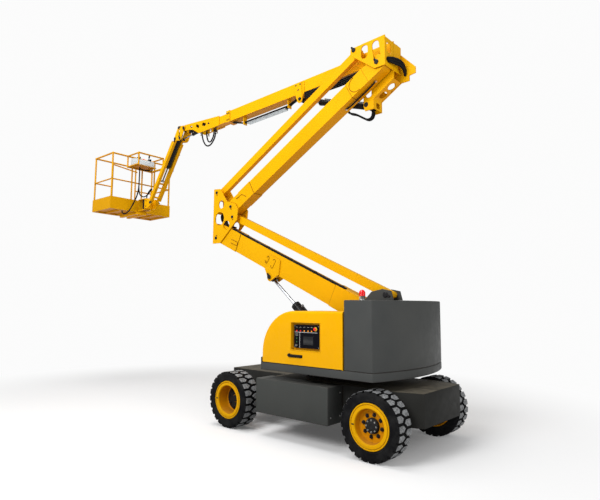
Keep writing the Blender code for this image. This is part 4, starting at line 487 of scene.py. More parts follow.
def tread_block(row):
    """One block of the row on a side of the groove, at the top of a wheel that turns about Y."""
    rings = [[], []]
    for share, reach, radius, face_reach in BLOCK:
        for ring, s, a, r in ((0, share, reach, radius), (1, share * FACE_SHARE, face_reach, TYRE_RADIUS)):
            t = 2 * pi / PITCHES * (s + 0.25 * row)
            rings[ring].append((r * sin(t), row * a, r * cos(t)))
    return eased(lofted(rings), 0.0022, 1)


def tread_rubber(name, centre):
    """Black rubber that is scuffed to grey where it touches the ground."""
    made, tree, shader, where = blank_finish(name)
    SLOTS[name] = "tyre"
    from_axle = node(tree, "VectorMath", "SUBTRACT", i0=where, i1=centre).outputs[0]
    flat = node(tree, "VectorMath", "MULTIPLY", i0=from_axle, i1=(1, 0, 1)).outputs[0]
    radius = node(tree, "VectorMath", "LENGTH", i0=flat).outputs["Value"]
    touched = spread(radius, TYRE_RADIUS - 0.0045, TYRE_RADIUS - 0.0015)
    scuffs = noise(where, 55.0, 9.0, 0.7)
    worn = between(spread(scuffs, 0.38, 0.6), (0.1, 0.1, 0.1), (0.36, 0.37, 0.38))
    sides = between(spread(noise(where, 9.0, 6.0), 0.4, 0.75), (0.005, 0.005, 0.006),
                    (0.02, 0.02, 0.02))
    grain = node(tree, "Bump", Height=noise(where, 300.0, 3.0), Strength=0.25, Distance=0.001)
    fill(shader, Base_Color=between(touched, sides, worn), Specular_IOR_Level=0.1,
         Roughness=spread(scuffs, 0.3, 0.7, 0.55, 0.85), Normal=grain.outputs["Normal"])
    return made


for name, x, side, centre in WHEELS:
    rubber = tread_rubber("tyre_rubber_" + name, place(*centre))
    shapes = [lathe(CARCASS, centre, steps=96)]
    shapes += [repeated(tread_block(row), rubber, PITCHES, centre) for row in (-1, 1)]
    piece("tyre_tread_" + name, "wheel_" + name, shapes, rubber, ["tyre_" + name], 30)


# ---- Wheel rims
# Pressed steel rims in the machine's yellow: a broad flange with a lock-ring groove, a deep dish, and
# a disc with eight black nuts and studs. Dish and disc take a darker yellow, which is painted shade.
# A black valve lies on each flange.
def spun(profile, side, centre, steps=64):
    """A turned ring whose profile's reach counts outwards on its side of the machine."""
    return lathe([(radius, side * reach) for radius, reach in profile], centre, steps=steps)


boom_yellow = sprayed_paint("boom_yellow", "yellow_paint", (0.8, 0.395, 0.001), (0.84, 0.42, 0.0012),
                            (0.6, 0.42, 0.14), 0.38, 0.0, 0.12, (0.5, 0.24, 0.01), 0.35)
# A darker copy of the yellow for the rims' dish and disc: painted shade.
rim_shade_yellow = sprayed_paint("rim_shade_yellow", "yellow_paint", (0.7, 0.285, 0.001), (0.6, 0.225, 0.0012),
                           (0.3, 0.19, 0.08), 0.45, 0.0, 0.3, (0.2, 0.12, 0.05), 0.5)
nut_black = sprayed_paint("nut_black", "dark_steel", (0.012, 0.012, 0.013), (0.03, 0.03, 0.032),
                          (0.05, 0.05, 0.05), 0.35, 0.2, 0.1)
FLANGE = ((0.2368, 0.113), (0.2345, 0.1178), (0.2225, 0.1178), (0.2205, 0.112), (0.2155, 0.112),
          (0.2135, 0.1178), (0.184, 0.1178), (0.1785, 0.115), (0.176, 0.106), (0.1755, 0.1),
          (0.2368, 0.1))
DISH_FRONT = ((0.2368, 0.0998), (0.1755, 0.0998))
REAR_DISH = ((0.172, 0.06), (0.166, 0.043), (0.155, 0.0385), (0.12, 0.0385), (0.116, 0.041),
             (0.082, 0.041), (0.0786, 0.038), (0.0786, 0.026), (0.16, 0.026), (0.176, 0.034))
FRONT_DISH = ((0.17, 0.02), (0.163, -0.025), (0.15, -0.033), (0.052, -0.033), (0.05, -0.023),
              (0.0, -0.021), (0.0, -0.032), (0.0358, -0.032), (0.0358, -0.0896), (0.0478, -0.0896),
              (0.0478, -0.0448), (0.175, -0.0448))
DISH_BACK = ((0.224, -0.118), (0.2368, -0.118))
NUT_CIRCLE, NUT_START = 0.112, radians(10)
for name, x, side, centre in WHEELS:
    dish, nut_reach = (REAR_DISH, 0.0385) if x == 0 else (FRONT_DISH, -0.0331)
    body = "wheel_" + name
    piece("rim_disc_" + name, body, [spun(DISH_FRONT + dish + DISH_BACK, side, centre)], rim_shade_yellow,
          ["rim_" + name], 25)
    piece("rim_flange_" + name, body, [spun(FLANGE, side, centre)], boom_yellow, sharp=25)
    nut = joined([hex_bolt(0.03, 0.022, (0, side, 0)), rod((0, 0, 0), (0, side * 0.03, 0), 0.007, 10)],
                 bpy.data.meshes.new("nut"))
    moved(nut, -NUT_CIRCLE * sin(NUT_START), side * nut_reach, NUT_CIRCLE * cos(NUT_START))
    valve = [rod((x + 0.196, side * (WHEEL_Y + 0.117), TYRE_RADIUS),
                 (x + 0.182, side * (WHEEL_Y + 0.125), TYRE_RADIUS), 0.005, 10),
             block(x + 0.186, x + 0.212, side * (WHEEL_Y + 0.112), side * (WHEEL_Y + 0.1188),
                   TYRE_RADIUS - 0.007, TYRE_RADIUS + 0.007)]
    piece("wheel_nuts_" + name, body, [repeated(nut, nut_black, 8, centre)] + valve, nut_black)


# ---- Wheel hubs
# The drive wheels' black planetary hubs with a bolted face, and the steered wheels' bearing caps,
# each with a drum and a dark disc behind it.
HUB = ((0.0, 0.0735), (0.018, 0.0735), (0.02, 0.0765), (0.046, 0.0765), (0.05, 0.074), (0.07, 0.074),
       (0.0765, 0.068), (0.078, 0.06), (0.078, 0.0255), (0.125, 0.0255), (0.125, 0.0015), (0.09, 0.0015),
       (0.09, -0.115), (0.0, -0.115))
FRONT_CAPS = (
    # profile, steps
    (((0.0, -0.006), (0.034, -0.008), (0.044, -0.016), (0.046, -0.0325), (0.0, -0.0325)), 40),
    (((0.047, -0.03), (0.092, -0.0275), (0.098, -0.0325), (0.047, -0.0325)), 40),
    (((0.0, -0.029), (0.145, -0.03), (0.151, -0.0328), (0.0, -0.0328)), 48),
)
FACE_BOLTS = 0.06 * sin(radians(45))
for name, x, side, centre in WHEELS:
    if x == 0:
        piece("planetary_hub_" + name, "wheel_" + name, [spun(HUB, side, centre, 48)], axle_black,
              ["hub_" + name])
        face_bolt = moved(hex_bolt(0.013, 0.008, (0, side, 0)), FACE_BOLTS, side * 0.074, FACE_BOLTS)
        piece("hub_bolts_" + name, "wheel_" + name, [repeated(face_bolt, bolt_zinc, 8, centre)], bolt_zinc)
    else:
        piece("bearing_cap_" + name, "wheel_" + name,
              [spun(profile, side, centre, steps) for profile, steps in FRONT_CAPS], axle_black)


# ---- Turret tray and counterweight
# A steel tray that carries the turret, and over its tail the cast counterweight, both in one dark
# grey with rounded edges painted a little paler, as wear and as a painted highlight.
turret_grey = sprayed_paint("turret_grey", "grey_paint", (0.062, 0.065, 0.064), (0.074, 0.076, 0.073),
                            (0.15, 0.13, 0.1), 0.46, 0.0, 0.35, (0.19, 0.19, 0.18), 0.7)
for name, copied, width in (("tray_body", "turret_tray", 0.008), ("weight_body", "counterweight", 0.012)):
    piece(name, "turret", [eased(frame_copy(copied), width, 3)], turret_grey, [copied], 30)


# ---- Hoods
# Moulded plastic covers in the machine's yellow, with one big round corner at the front, a generous
# round along their outer edge and a rubber seal below. The left one has a recess with a raised lip
# for the ground controls, and a black latch under it.
HOOD_REAR, HOOD_FRONT, HOOD_LOW, HOOD_TOP = 0.335, 1.556, 0.8803, 1.505
HOOD_INNER, TURRET_FACE, HOOD_CORNER, HOOD_ROUND = 0.3, 0.803, 0.505, 0.03
RECESS_START, RECESS_END, RECESS_LOW, RECESS_TOP, RECESS_DEPTH, LIP = 0.645, 1.075, 1.056, 1.371, 0.05, 0.008


def slab(outline, y0, y1):
    """A plate cut to an outline in X and Z."""
    return lofted([[(x, y, z) for x, z in outline] for y in (y0, y1)])


def outer_and_upper(a, b):
    """Whether an edge lies on the hood's outer face, over its arc, its top or up its front."""
    outer = abs(abs(a.y) - TURRET_FACE) < 0.001 and abs(abs(b.y) - TURRET_FACE) < 0.001
    return outer and max(a.z, b.z) >= HOOD_LOW + 0.01 and max(a.x, b.x) >= HOOD_REAR + 0.01


def hood_shell(side):
    """A slab, square behind, with a quarter round in front, whose outer upper edge is rounded off."""
    x, z = HOOD_FRONT - HOOD_CORNER, HOOD_TOP - HOOD_CORNER
    turns = [radians(t) for t in range(0, 91, 3)]
    arc = [(x + HOOD_CORNER * cos(t), z + HOOD_CORNER * sin(t)) for t in turns]
    outline = [(HOOD_REAR, HOOD_LOW), (HOOD_FRONT, HOOD_LOW)] + arc + [(HOOD_REAR, HOOD_TOP)]
    return eased(slab(outline, side * HOOD_INNER, side * TURRET_FACE), HOOD_ROUND, 5, 0, outer_and_upper)


def cut_from(bm, *cutters):
    """Closed shapes cut one after another from another by the exact solver."""
    for cutter in cutters:
        whole, tool = loose(bm), loose(cutter)
        step = whole.modifiers.new("cut", "BOOLEAN")
        step.object, step.operation, step.solver = tool, "DIFFERENCE", "EXACT"
        bm = baked(whole, tool)
    return bm


# The hood paint's edges go a brighter yellow: a painted highlight, not wear.
hood_yellow = sprayed_paint("hood_yellow", "yellow_paint", (0.86, 0.415, 0.001), (0.9, 0.44, 0.0012),
                            (0.62, 0.45, 0.16), 0.26, 0.02, 0.1, (0.95, 0.6, 0.08), 0.25)
rubber_seal = sprayed_paint("rubber_seal", "dark_steel", (0.012, 0.012, 0.012), (0.022, 0.022, 0.022),
                            (0.03, 0.03, 0.03), 0.7, 0.0, 0.3)
for side, name in ((1, "left"), (-1, "right")):
    shell = hood_shell(side)
    if side > 0:
        shell = cut_from(shell, eased(block(RECESS_START, RECESS_END, TURRET_FACE - RECESS_DEPTH,
                                            TURRET_FACE + 0.05, RECESS_LOW, RECESS_TOP), 0.006, 3))
    piece("hood_cover_" + name, "turret", [shell], hood_yellow, ["hood_" + name], 30)
    seal = block(HOOD_REAR + 0.01, HOOD_FRONT - 0.01, side * 0.7, side * (TURRET_FACE + 0.0015),
                 HOOD_LOW - 0.0002, HOOD_LOW + 0.006)
    piece("hood_seal_" + name, "turret", [seal], rubber_seal)

pull = eased(block(0.908, 1.105, TURRET_FACE + 0.006, TURRET_FACE + 0.02, 0.976, 0.996), 0.004, 3)
pull_seat = eased(block(0.9, 1.112, TURRET_FACE - 0.002, TURRET_FACE + 0.006, 0.97, 1.003), 0.003, 2)
knob = lathe([(0, 0), (0.019, 0), (0.019, 0.014), (0.015, 0.02), (0, 0.021)],
             (1.092, TURRET_FACE + 0.008, 0.994), steps=24)
piece("hood_latch", "turret", [pull, pull_seat, knob], rubber_seal)
lip_parts = []
for x0, x1, z0, z1 in ((RECESS_START - LIP, RECESS_END + LIP, RECESS_TOP, RECESS_TOP + LIP),
                       (RECESS_START - LIP, RECESS_END + LIP, RECESS_LOW - LIP, RECESS_LOW),
                       (RECESS_START - LIP, RECESS_START, RECESS_LOW, RECESS_TOP),
                       (RECESS_END, RECESS_END + LIP, RECESS_LOW, RECESS_TOP)):
    lip_parts.append(eased(block(x0, x1, TURRET_FACE - 0.004, TURRET_FACE + 0.003, z0, z1), 0.002, 2))
piece("recess_lip", "turret", lip_parts, hood_yellow)


# ---- Ground control panel
# A black panel set in the hood's recess: a row of toggle switches over their lamps, thin white
# lines, an emergency stop on a yellow plate, a small display, two green lamps and a key switch.
def flat_colour(name, slot, colour, rough=0.4, glow=0.0):
    """A plain enamel or a lens with a little clouding."""
    made, tree, shader, where = blank_finish(name)
    SLOTS[name] = slot
    cloud = spread(noise(where, 60.0), 0.3, 0.7)
    fill(shader, Base_Color=between(cloud, colour, [c * 0.85 for c in colour]), Roughness=rough)
    if glow:
        fill(shader, Emission_Color=(*colour, 1), Emission_Strength=glow)
    return made


def disc(x, z, radius, height, steps=20):
    """A low round on the panel's face."""
    profile = [(0, -0.001), (radius, -0.001), (radius, height * 0.7), (radius * 0.85, height), (0, height)]
    return lathe(profile, (x, PANEL_FACE, z), steps=steps)


def printed(x0, x1, z0, z1):
    return block(x0, x1, PANEL_FACE - 0.001, PANEL_FACE + 0.0008, z0, z1)


PANEL_FACE = 0.7777
panel_black = sprayed_paint("panel_black", "console", (0.003, 0.003, 0.006), (0.004, 0.004, 0.007),
                            (0.02, 0.02, 0.02), 0.45, 0.0, 0.1)
painted(panel_black, "ground_panel")
print_white = flat_colour("print_white", "console", (0.72, 0.72, 0.7), 0.5)
glowing_red = flat_colour("glowing_red", "lamp", (0.75, 0.012, 0.01), 0.2, 0.5)
lens_orange = flat_colour("lens_orange", "lamp", (0.9, 0.28, 0.01), 0.3, 0.5)
lens_green = flat_colour("lens_green", "lamp", (0.03, 0.16, 0.05), 0.3, 0.1)
stop_yellow = flat_colour("stop_yellow", "yellow_paint", (0.86, 0.6, 0.01))
display_glass = flat_colour("display_glass", "console", (0.008, 0.009, 0.011), 0.25)
TOGGLE_X, TOGGLE_Z, LAMP_Z = (1.006, 0.95, 0.893, 0.836, 0.783), 1.3, 1.276
STOP_X, STOP_Z, GREEN_X = 0.728, 1.302, 1.006
toggles = [disc(x, TOGGLE_Z, 0.0095, 0.005) for x in TOGGLE_X]
toggles += [rod((x, PANEL_FACE + 0.003, TOGGLE_Z), (x, PANEL_FACE + 0.02, TOGGLE_Z + 0.008), 0.0034, 12)
            for x in TOGGLE_X]
piece("panel_toggles", "turret", toggles, rubber_seal, slot="console")
lines = [printed(0.7, 1.04, 1.2585, 1.2625), printed(0.9595, 0.9635, 1.083, 1.2585)]
lines += [printed(x - 0.013, x + 0.013, 1.318, 1.3205) for x in TOGGLE_X]
lines += [printed(0.985, 1.03, z, z + 0.0025) for z in (1.238, 1.224)]
piece("panel_print", "turret", lines, print_white)
lamps = [disc(x, LAMP_Z, 0.0085, 0.004, 14) for x in TOGGLE_X]
piece("panel_lamps_red", "turret", lamps[:2], glowing_red)
piece("panel_lamps_orange", "turret", lamps[2:], lens_orange)
piece("panel_lamps_green", "turret", [disc(GREEN_X, z, 0.0065, 0.004, 16) for z in (1.19, 1.15)], lens_green)
piece("panel_stop_plate", "turret", [disc(STOP_X, STOP_Z, 0.0235, 0.003, 32)], stop_yellow)
mushroom = lathe([(0, 0.002), (0.008, 0.002), (0.008, 0.01), (0.0155, 0.012), (0.0165, 0.018),
                  (0.012, 0.0225), (0, 0.024)], (STOP_X, PANEL_FACE, STOP_Z), steps=32)
# The stop button takes the glowing red of the lamps, so it glows though it is no lamp: painted light.
piece("panel_stop_button", "turret", [mushroom], glowing_red)
display = eased(block(0.76, 0.905, PANEL_FACE - 0.001, PANEL_FACE + 0.003, 1.12, 1.215), 0.002, 2)
piece("panel_display", "turret", [display], display_glass)
key_parts = [disc(GREEN_X, 1.11, 0.011, 0.008, 24),
             block(1.004, 1.008, PANEL_FACE + 0.006, PANEL_FACE + 0.02, 1.098, 1.122)]
screws = [disc(x, z, 0.0045, 0.002, 10) for x in (0.682, 1.036) for z in (1.095, 1.332)]
piece("panel_key_and_screws", "turret", key_parts + screws, bolt_zinc)


# ---- Beacon
# A red ribbed dome with a round top on a plated foot, standing on the counterweight.
BEACON, BEACON_RADIUS = (0.28, 0.5, 1.6303), 0.0365
beacon_red, tree, shader, where = blank_finish("beacon_red")
SLOTS["beacon_red"] = "lamp"
BEACON_COLOUR = (0.85, 0.012, 0.014, 1)
fill(shader, Base_Color=BEACON_COLOUR, Emission_Color=BEACON_COLOUR, Emission_Strength=0.18,
     Transmission_Weight=0.35, IOR=1.49, Roughness=spread(noise(where, 90.0), 0.3, 0.7, 0.1, 0.22))
dome = [(0, 0.048), (BEACON_RADIUS, 0.048)]
for k in range(4):
    dome += [(BEACON_RADIUS, 0.05 + 0.007 * k), (BEACON_RADIUS * 0.965, 0.0535 + 0.007 * k)]
dome += [(BEACON_RADIUS * cos(radians(t)), 0.0795 + 0.04 * sin(radians(t))) for t in range(6, 90, 12)]
piece("beacon_dome", "turret", [lathe(dome + [(0, 0.1195)], BEACON, (0, 0, 1), 40)], beacon_red, ["beacon"])
foot = [(0, 0), (0.0375, 0), (0.0375, 0.005), (0.0345, 0.008), (0.0345, 0.044), (0.037, 0.0476), (0, 0.0476)]
piece("beacon_foot", "turret", [lathe(foot, BEACON, (0, 0, 1), 40)], bolt_zinc)


# ---- Riser stand and its pins
# Two flame-cut plates on the tray, painted dark, which hold the pins of the riser, its tie and its
# cylinder. Each pin has a round black head with a keeper tab and its bolt.
def pin_head(x, y, z, out, radius, tab_angle):
    """A pin's round head on a plate: head, dimple, a tapered keeper tab beside it, and its bolt."""
    head = lathe([(0, 0), (radius, 0), (radius, 0.007), (radius * 0.82, 0.012), (0, 0.012)], (x, y, z),
                 (0, out, 0), 32)
    dimple = rod((x, y + out * 0.011, z), (x, y + out * 0.0145, z), radius * 0.22, 16)
    along, across = (Vector((cos(t), 0, sin(t))) for t in (radians(tab_angle), radians(tab_angle + 90)))
    centre, end = Vector((x, 0, z)), Vector((x, 0, z)) + along * radius * 1.75
    wide, narrow = radius * 0.75, radius * 0.42
    corners = (centre + wide * across, end + narrow * across, end + narrow * along, end - narrow * across,
               centre - wide * across)
    tab = slab([(corner.x, corner.z) for corner in corners], y, y + out * 0.006)
    bolt = moved(hex_bolt(radius * 0.5, 0.008, (0, out, 0)), end.x, y + out * 0.006, end.z)
    return [head, dimple, eased(tab, 0.0012, 1), bolt]


def pin_heads(places, half, radius, middle=0.0):
    """Heads at both ends of pins, each pin given by x, z and its tabs' angle."""
    return [shape for x, z, angle in places for out in (-1, 1)
            for shape in pin_head(x, middle + out * half, z, out, radius, angle)]


PLATE_FACE = 0.112
painted(turret_grey, "riser_stand")
stand_pins = pin_heads(((0.595, 1.403, 25), (0.216, 1.7, 200), (1.1, 1.05, 60)), PLATE_FACE, 0.034)
piece("stand_pin_heads", "turret", stand_pins, nut_black)


# ---- Lower riser and its tie
# A welded box beam with doubler plates round its ends, and a flat tie above it that keeps the knuckle
# level. Weld beads, coloured dark as painted shade, run round the doublers, and a clipped black strip
# covers the hoses along its top.
def member(x, z, angle):
    """Places along a straight member: s from its first pin, h square to it, y across the machine."""
    along, square = cos(radians(angle)), sin(radians(angle))

    def at(s, h, y=0.0):
        return (x + s * along - h * square, y, z + s * square + h * along)
    return at


def strip(at, s0, s1, h0, h1, y0, y1):
    """A flat bar that lies along a member."""
    corners = [at(s, h) for s, h in ((s0, h0), (s1, h0), (s1, h1), (s0, h1))]
    return slab([(x, z) for x, _, z in corners], y0, y1)


def bead(points, radius=0.0045, steps=8):
    """A weld bead along a line of points."""
    return [rod(a, b, radius, steps) for a, b in zip(points, points[1:])]


def weld_loop(at, s, h0, h1, half, radius=0.0045, middle=0.0):
    """A weld bead round a member's box section."""
    corners = ((h0, -half), (h0, half), (h1, half), (h1, -half), (h0, -half))
    return bead([at(s, h, middle + y) for h, y in corners], radius)


def weld_slot(at, s, low, high, width, y, tilt):
    """A bead round a slot weld: a long loop with round ends on a member's side."""
    loop, middle, reach = [], (low + high) / 2, (high - low - width) / 2
    for k in range(17):
        t = 2 * pi * k / 16
        across = width / 2 * cos(t)
        up_slot = width / 2 * sin(t) + (reach if sin(t) >= 0 else -reach)
        loop.append(at(s + across * cos(tilt) - up_slot * sin(tilt),
                       middle + across * sin(tilt) + up_slot * cos(tilt), y))
    return bead(loop, steps=6)


# The weld beads are yellow paint coloured dark brown: painted shade along the welds.
weld_shade_brown = sprayed_paint("weld_shade_brown", "yellow_paint", (0.24, 0.09, 0.002), (0.34, 0.135, 0.002),
                           (0.3, 0.17, 0.05), 0.5, 0.0, 0.1)
hose_rubber = sprayed_paint("hose_rubber", "hose", (0.007, 0.007, 0.008), (0.014, 0.014, 0.015),
                            (0.05, 0.05, 0.045), 0.42, 0.0, 0.2)
LOWER = member(0.595, 1.403, 24.3)
RISER_HALF, COLLAR, DOUBLER, BEAD_RISE = 0.085, 0.006, 0.502, 0.001
LOWER_LENGTH, LOW_H, HIGH_H = 2.979, -0.039, 0.239
painted(boom_yellow, "lower_riser", "lower_tie")
welds = []
for s in (DOUBLER, LOWER_LENGTH - DOUBLER):
    welds += weld_loop(LOWER, s, LOW_H - BEAD_RISE, HIGH_H + BEAD_RISE, RISER_HALF + BEAD_RISE)
for side in (-1, 1):
    for s, low, high in ((1.772, 0.045, 0.15), (1.64, 0.02, 0.152)):
        welds += weld_slot(LOWER, s, low, high, 0.052, side * (RISER_HALF + 0.0155), radians(6))
    face = side * (RISER_HALF + COLLAR + 0.0005)
    welds += bead([LOWER(s, h, face) for s, h in ((2.63, 0.045), (2.48, 0.05), (2.49, 0.105), (2.64, 0.1))])
piece("lower_riser_welds", "lower_riser", welds, weld_shade_brown)
STRIP_H = HIGH_H + COLLAR
cover = [eased(strip(LOWER, 0.36, 2.7, STRIP_H, STRIP_H + 0.016, 0.03, 0.084), 0.004, 2)]
clips = [strip(LOWER, s, s + 0.03, STRIP_H, STRIP_H + 0.019, 0.024, 0.09)
         for s in (0.42, 0.9, 1.38, 1.86, 2.34, 2.64)]
piece("lower_riser_hose_strip", "lower_riser", cover + clips, hose_rubber)
x, _, z = LOWER(1.623, -0.111)
heads = pin_heads([(x, z, 60)], RISER_HALF + 0.0275, 0.031)
piece("riser_bracket_pin_heads", "lower_riser", heads, nut_black)


# ---- Lower knuckle
# Two yellow plates cut from sheet, with large lightening holes, joined by a web with two windows and
# by four pins. A small yellow keeper tab holds each pin's black head, and hoses loop round inside.
def along_x(a, b):
    """Whether an edge runs along X, given its ends."""
    return abs(a.x - b.x) > 0.02


def tube(points, radius, steps=10):
    """A round tube with closed ends along a smooth curve through its points."""
    places = [Vector(p) for p in points]
    ends = [2 * places[0] - places[1]] + places + [2 * places[-1] - places[-2]]
    fine = []
    for a, b, c, d in zip(ends, ends[1:], ends[2:], ends[3:]):
        for u in (i / 6 for i in range(6)):
            fine.append(0.5 * (2 * b + (c - a) * u + (2 * a - 5 * b + 4 * c - d) * u ** 2
                               + (3 * b - a - 3 * c + d) * u ** 3))
    fine.append(places[-1])
    ahead = [(b - a).normalized() for a, b in zip(fine, fine[1:])]
    ahead = [ahead[0]] + [(a + b).normalized() for a, b in zip(ahead, ahead[1:])] + [ahead[-1]]
    side = ahead[0].orthogonal().normalized()
    rings = []
    for spot, axis in zip(fine, ahead):
        side = (side - axis * side.dot(axis)).normalized()
        other = axis.cross(side)
        turns = [2 * pi * k / steps for k in range(steps)]
        rings.append([spot + radius * (cos(t) * side + sin(t) * other) for t in turns])
    return lofted(rings)


def pierced(name, source, *cutters):
    """A CAD node's shape again, in the boom's yellow, with holes cut through it."""
    piece(name, source, [cut_from(frame_copy(source), *cutters)], boom_yellow, [source], 30)


cutters = []
for x, z, radius in ((3.197267, 3.158644, 0.066), (3.234195, 2.932838, 0.106), (3.068019, 2.812823, 0.072)):
    cutters.append(rod((x, -0.15, z), (x, 0.15, z), radius, 40))
for low, high in ((2.872, 3.03), (3.085, 3.25)):
    cutters.append(eased(block(3.34, 3.4, -0.072, 0.072, low, high), 0.025, 3, 50, along_x))
pierced("lower_knuckle_plates", "lower_knuckle", *cutters)
heads = pin_heads(((3.3101, 2.6289, 110), (2.9311, 2.9259, 250), (2.9741, 3.0939, 250),
                   (3.3141, 3.3639, 250)), PLATE_FACE, 0.024)
TABS = slice(2, None, 4)  # the third shape of each four that pin_head gives
piece("lower_knuckle_pin_tabs", "lower_knuckle", heads[TABS], boom_yellow)
del heads[TABS]
piece("lower_knuckle_pin_heads", "lower_knuckle", heads, nut_black)
loops = []
for k, y in enumerate((-0.06, -0.03, 0.0, 0.03, 0.06)):
    loops.append(tube([LOWER(2.785, HIGH_H + 0.022, y), (3.1, y, 2.806), (3.16, y, 2.815 + 0.006 * k),
                       (3.23, y, 2.87 + 0.008 * k), (3.25, y, 2.95 + 0.006 * k), (3.21, y, 3.04)], 0.0125))
piece("lower_knuckle_hoses", "lower_knuckle", loops, hose_rubber)


# ---- Upper riser and its tie
# The second box beam and tie, made like the first pair, with an arch of weld where the top doubler
# ends. A short hose lies along its underside between two fittings.
UPPER = member(2.9741, 3.0939, 150.8)
UPPER_LENGTH, UPPER_HALF = 3.064, 0.1105
painted(boom_yellow, "upper_riser", "upper_tie")
welds = []
for s in (DOUBLER, UPPER_LENGTH - DOUBLER):
    welds += weld_loop(UPPER, s, -UPPER_HALF - BEAD_RISE, UPPER_HALF + BEAD_RISE, RISER_HALF + BEAD_RISE)
for side in (-1, 1):
    face = side * (RISER_HALF + COLLAR + 0.0005)
    welds += bead([UPPER(s, h, face) for s, h in ((0.145, -0.052), (0.281, -0.034), (0.345, 0.055))])
    turns = [radians(t) for t in range(0, 181, 12)]
    welds += bead([UPPER(2.7 - 0.115 * sin(t), -0.105 * cos(t), face) for t in turns])
piece("upper_riser_welds", "upper_riser", welds, weld_shade_brown)
places = [UPPER(s, h) for s, h in ((2.38, 0.118), (2.42, 0.13), (2.52, 0.134), (2.76, 0.134), (2.86, 0.13),
                                   (2.9, 0.118))]
piece("riser_underside_hose", "upper_riser", [tube(places, 0.01)], hose_rubber, ["hose_knuckle"])
fittings = [rod(UPPER(s, UPPER_HALF + 0.002), UPPER(s, UPPER_HALF + 0.022), 0.0135, 6) for s in (2.38, 2.9)]
piece("riser_hose_fittings", "upper_riser", fittings, bolt_zinc)


# ---- Top knuckle
# A box of yellow plates that turns the stack back towards the platform. Two long slots open its near
# plate, windows its back and round holes its tail. Hoses drape over its back, and black heads close
# its pins.
def slot_cutter(low, high, radius, y0, y1):
    """A long hole with round ends in a plate that stands along X and Z."""
    angle = atan2(high[1] - low[1], high[0] - low[0])
    outline = []
    for (x, z), start in ((high, angle - pi / 2), (low, angle + pi / 2)):
        turns = [start + pi * k / 12 for k in range(13)]
        outline += [(x + radius * cos(t), z + radius * sin(t)) for t in turns]
    return slab(outline, y0, y1)


TOP_X, TOP_Z = 0.2994, 4.5887
TIE_DX, TIE_DZ = 0.34, 0.27
TAIL_A, TAIL_B = Vector((0.4754, -0.208, 4.2367)), Vector((0.1814, -0.208, 4.4167))
cutters = []
for shares in (((-0.02, 0.32), (0.04, 0.87)), ((0.52, 0.57), (0.52, 0.86))):
    low, high = ((TOP_X + a * TIE_DX, TOP_Z + b * TIE_DZ) for a, b in shares)
    cutters.append(slot_cutter(low, high, 0.051, 0.07, 0.15))
for y0, y1, z0, z1 in ((-0.045, 0.062, 4.705, 4.835), (-0.02, 0.075, 4.57, 4.64),
                       (-0.285, -0.215, 4.54, 4.625)):
    cutters.append(eased(block(0.1, 0.22, y0, y1, z0, z1), 0.028, 4, 50, along_x))
along = (TAIL_B - TAIL_A).normalized()
through = 0.03 * Vector((-along.z, 0, along.x))
for share in (0.27, 0.7):
    centre = TAIL_A + share * (TAIL_B - TAIL_A)
    cutters.append(rod(centre - through, centre + through, 0.056, 36))
cutters.append(rod((centre.x + 0.09, -0.27, centre.z + 0.05), (centre.x + 0.09, -0.32, centre.z + 0.05),
                   0.085, 36))
cutters.append(rod((0.548, -0.09, 4.317), (0.548, -0.13, 4.317), 0.052, 36))
cutters.append(eased(block(0.44, 0.5, -0.25, -0.165, 4.125, 4.2), 0.022, 3, 50, along_x))
pierced("top_knuckle_plates", "top_knuckle", *cutters)
heads = pin_heads(((TOP_X, TOP_Z, 55), (TOP_X + TIE_DX, TOP_Z + TIE_DZ, 55)), PLATE_FACE, 0.03)
for x, z, angle in ((0.2804, 4.7987, 200), (0.5934, 4.1797, 120)):
    heads += pin_head(x, -0.3025, z, -1, 0.034, angle)
heads.append(lathe([(0, 0), (0.034, 0), (0.034, 0.0012), (0, 0.0012)], (0.5934, -0.0972, 4.1797), steps=32))
piece("top_knuckle_pin_heads", "top_knuckle", heads, nut_black)
DRAPE = (
    # x, y, z of a hose, then how far each next one shifts across and down
    (0.23, 0.055, 4.628, 1, 0.3), (0.165, 0.028, 4.63, 1, 0.6), (0.138, -0.06, 4.646, 0, 1),
    (0.12, -0.15, 4.648, 0, 1), (0.11, -0.215, 4.628, 0, 1), (0.112, -0.258, 4.59, 0, 1),
    (0.118, -0.2875, 4.552, 0, 0.9),
)
drapes = [tube([(x, y - 0.012 * k * near, z - 0.031 * k * drop) for x, y, z, near, drop in DRAPE],
               0.0165, 12) for k in range(3)]
piece("top_knuckle_hoses", "top_knuckle", drapes, hose_rubber)


# ---- Hydraulic cylinders
# Black barrels with a sleeve and a gland, a port at each end joined by a pipe, and a steel rod. Three
# rods have a round black eye, and two hoses hang from the boom's cylinder.
rod_chrome = plated("rod_chrome", (0.3, 0.31, 0.33), 0.18)
cylinder_black = sprayed_paint("cylinder_black", "dark_steel", (0.012, 0.012, 0.013), (0.02, 0.02, 0.022),
                               (0.06, 0.055, 0.05), 0.34, 0.1, 0.3)
CYLINDERS = (
    # name, base x and z, eye x and z, y, barrel length, barrel radius, eye's half width and radius
    ("riser", (1.1, 1.05), (2.1337, 1.9377), 0.0, 0.81, 0.054, 0.026, 0.033),
    ("boom", (0.5934, 4.1797), (1.7492, 4.5802), -0.1998, 0.89, 0.038, 0.026, 0.034),
    ("jib", (4.7312, 4.841), (5.3333, 3.9373), -0.204, 0.8, 0.038, 0, 0),
    ("level", (4.0594, 4.7098), (4.6972, 4.638), -0.204, 0.36, 0.026, 0.02, 0.024),
)
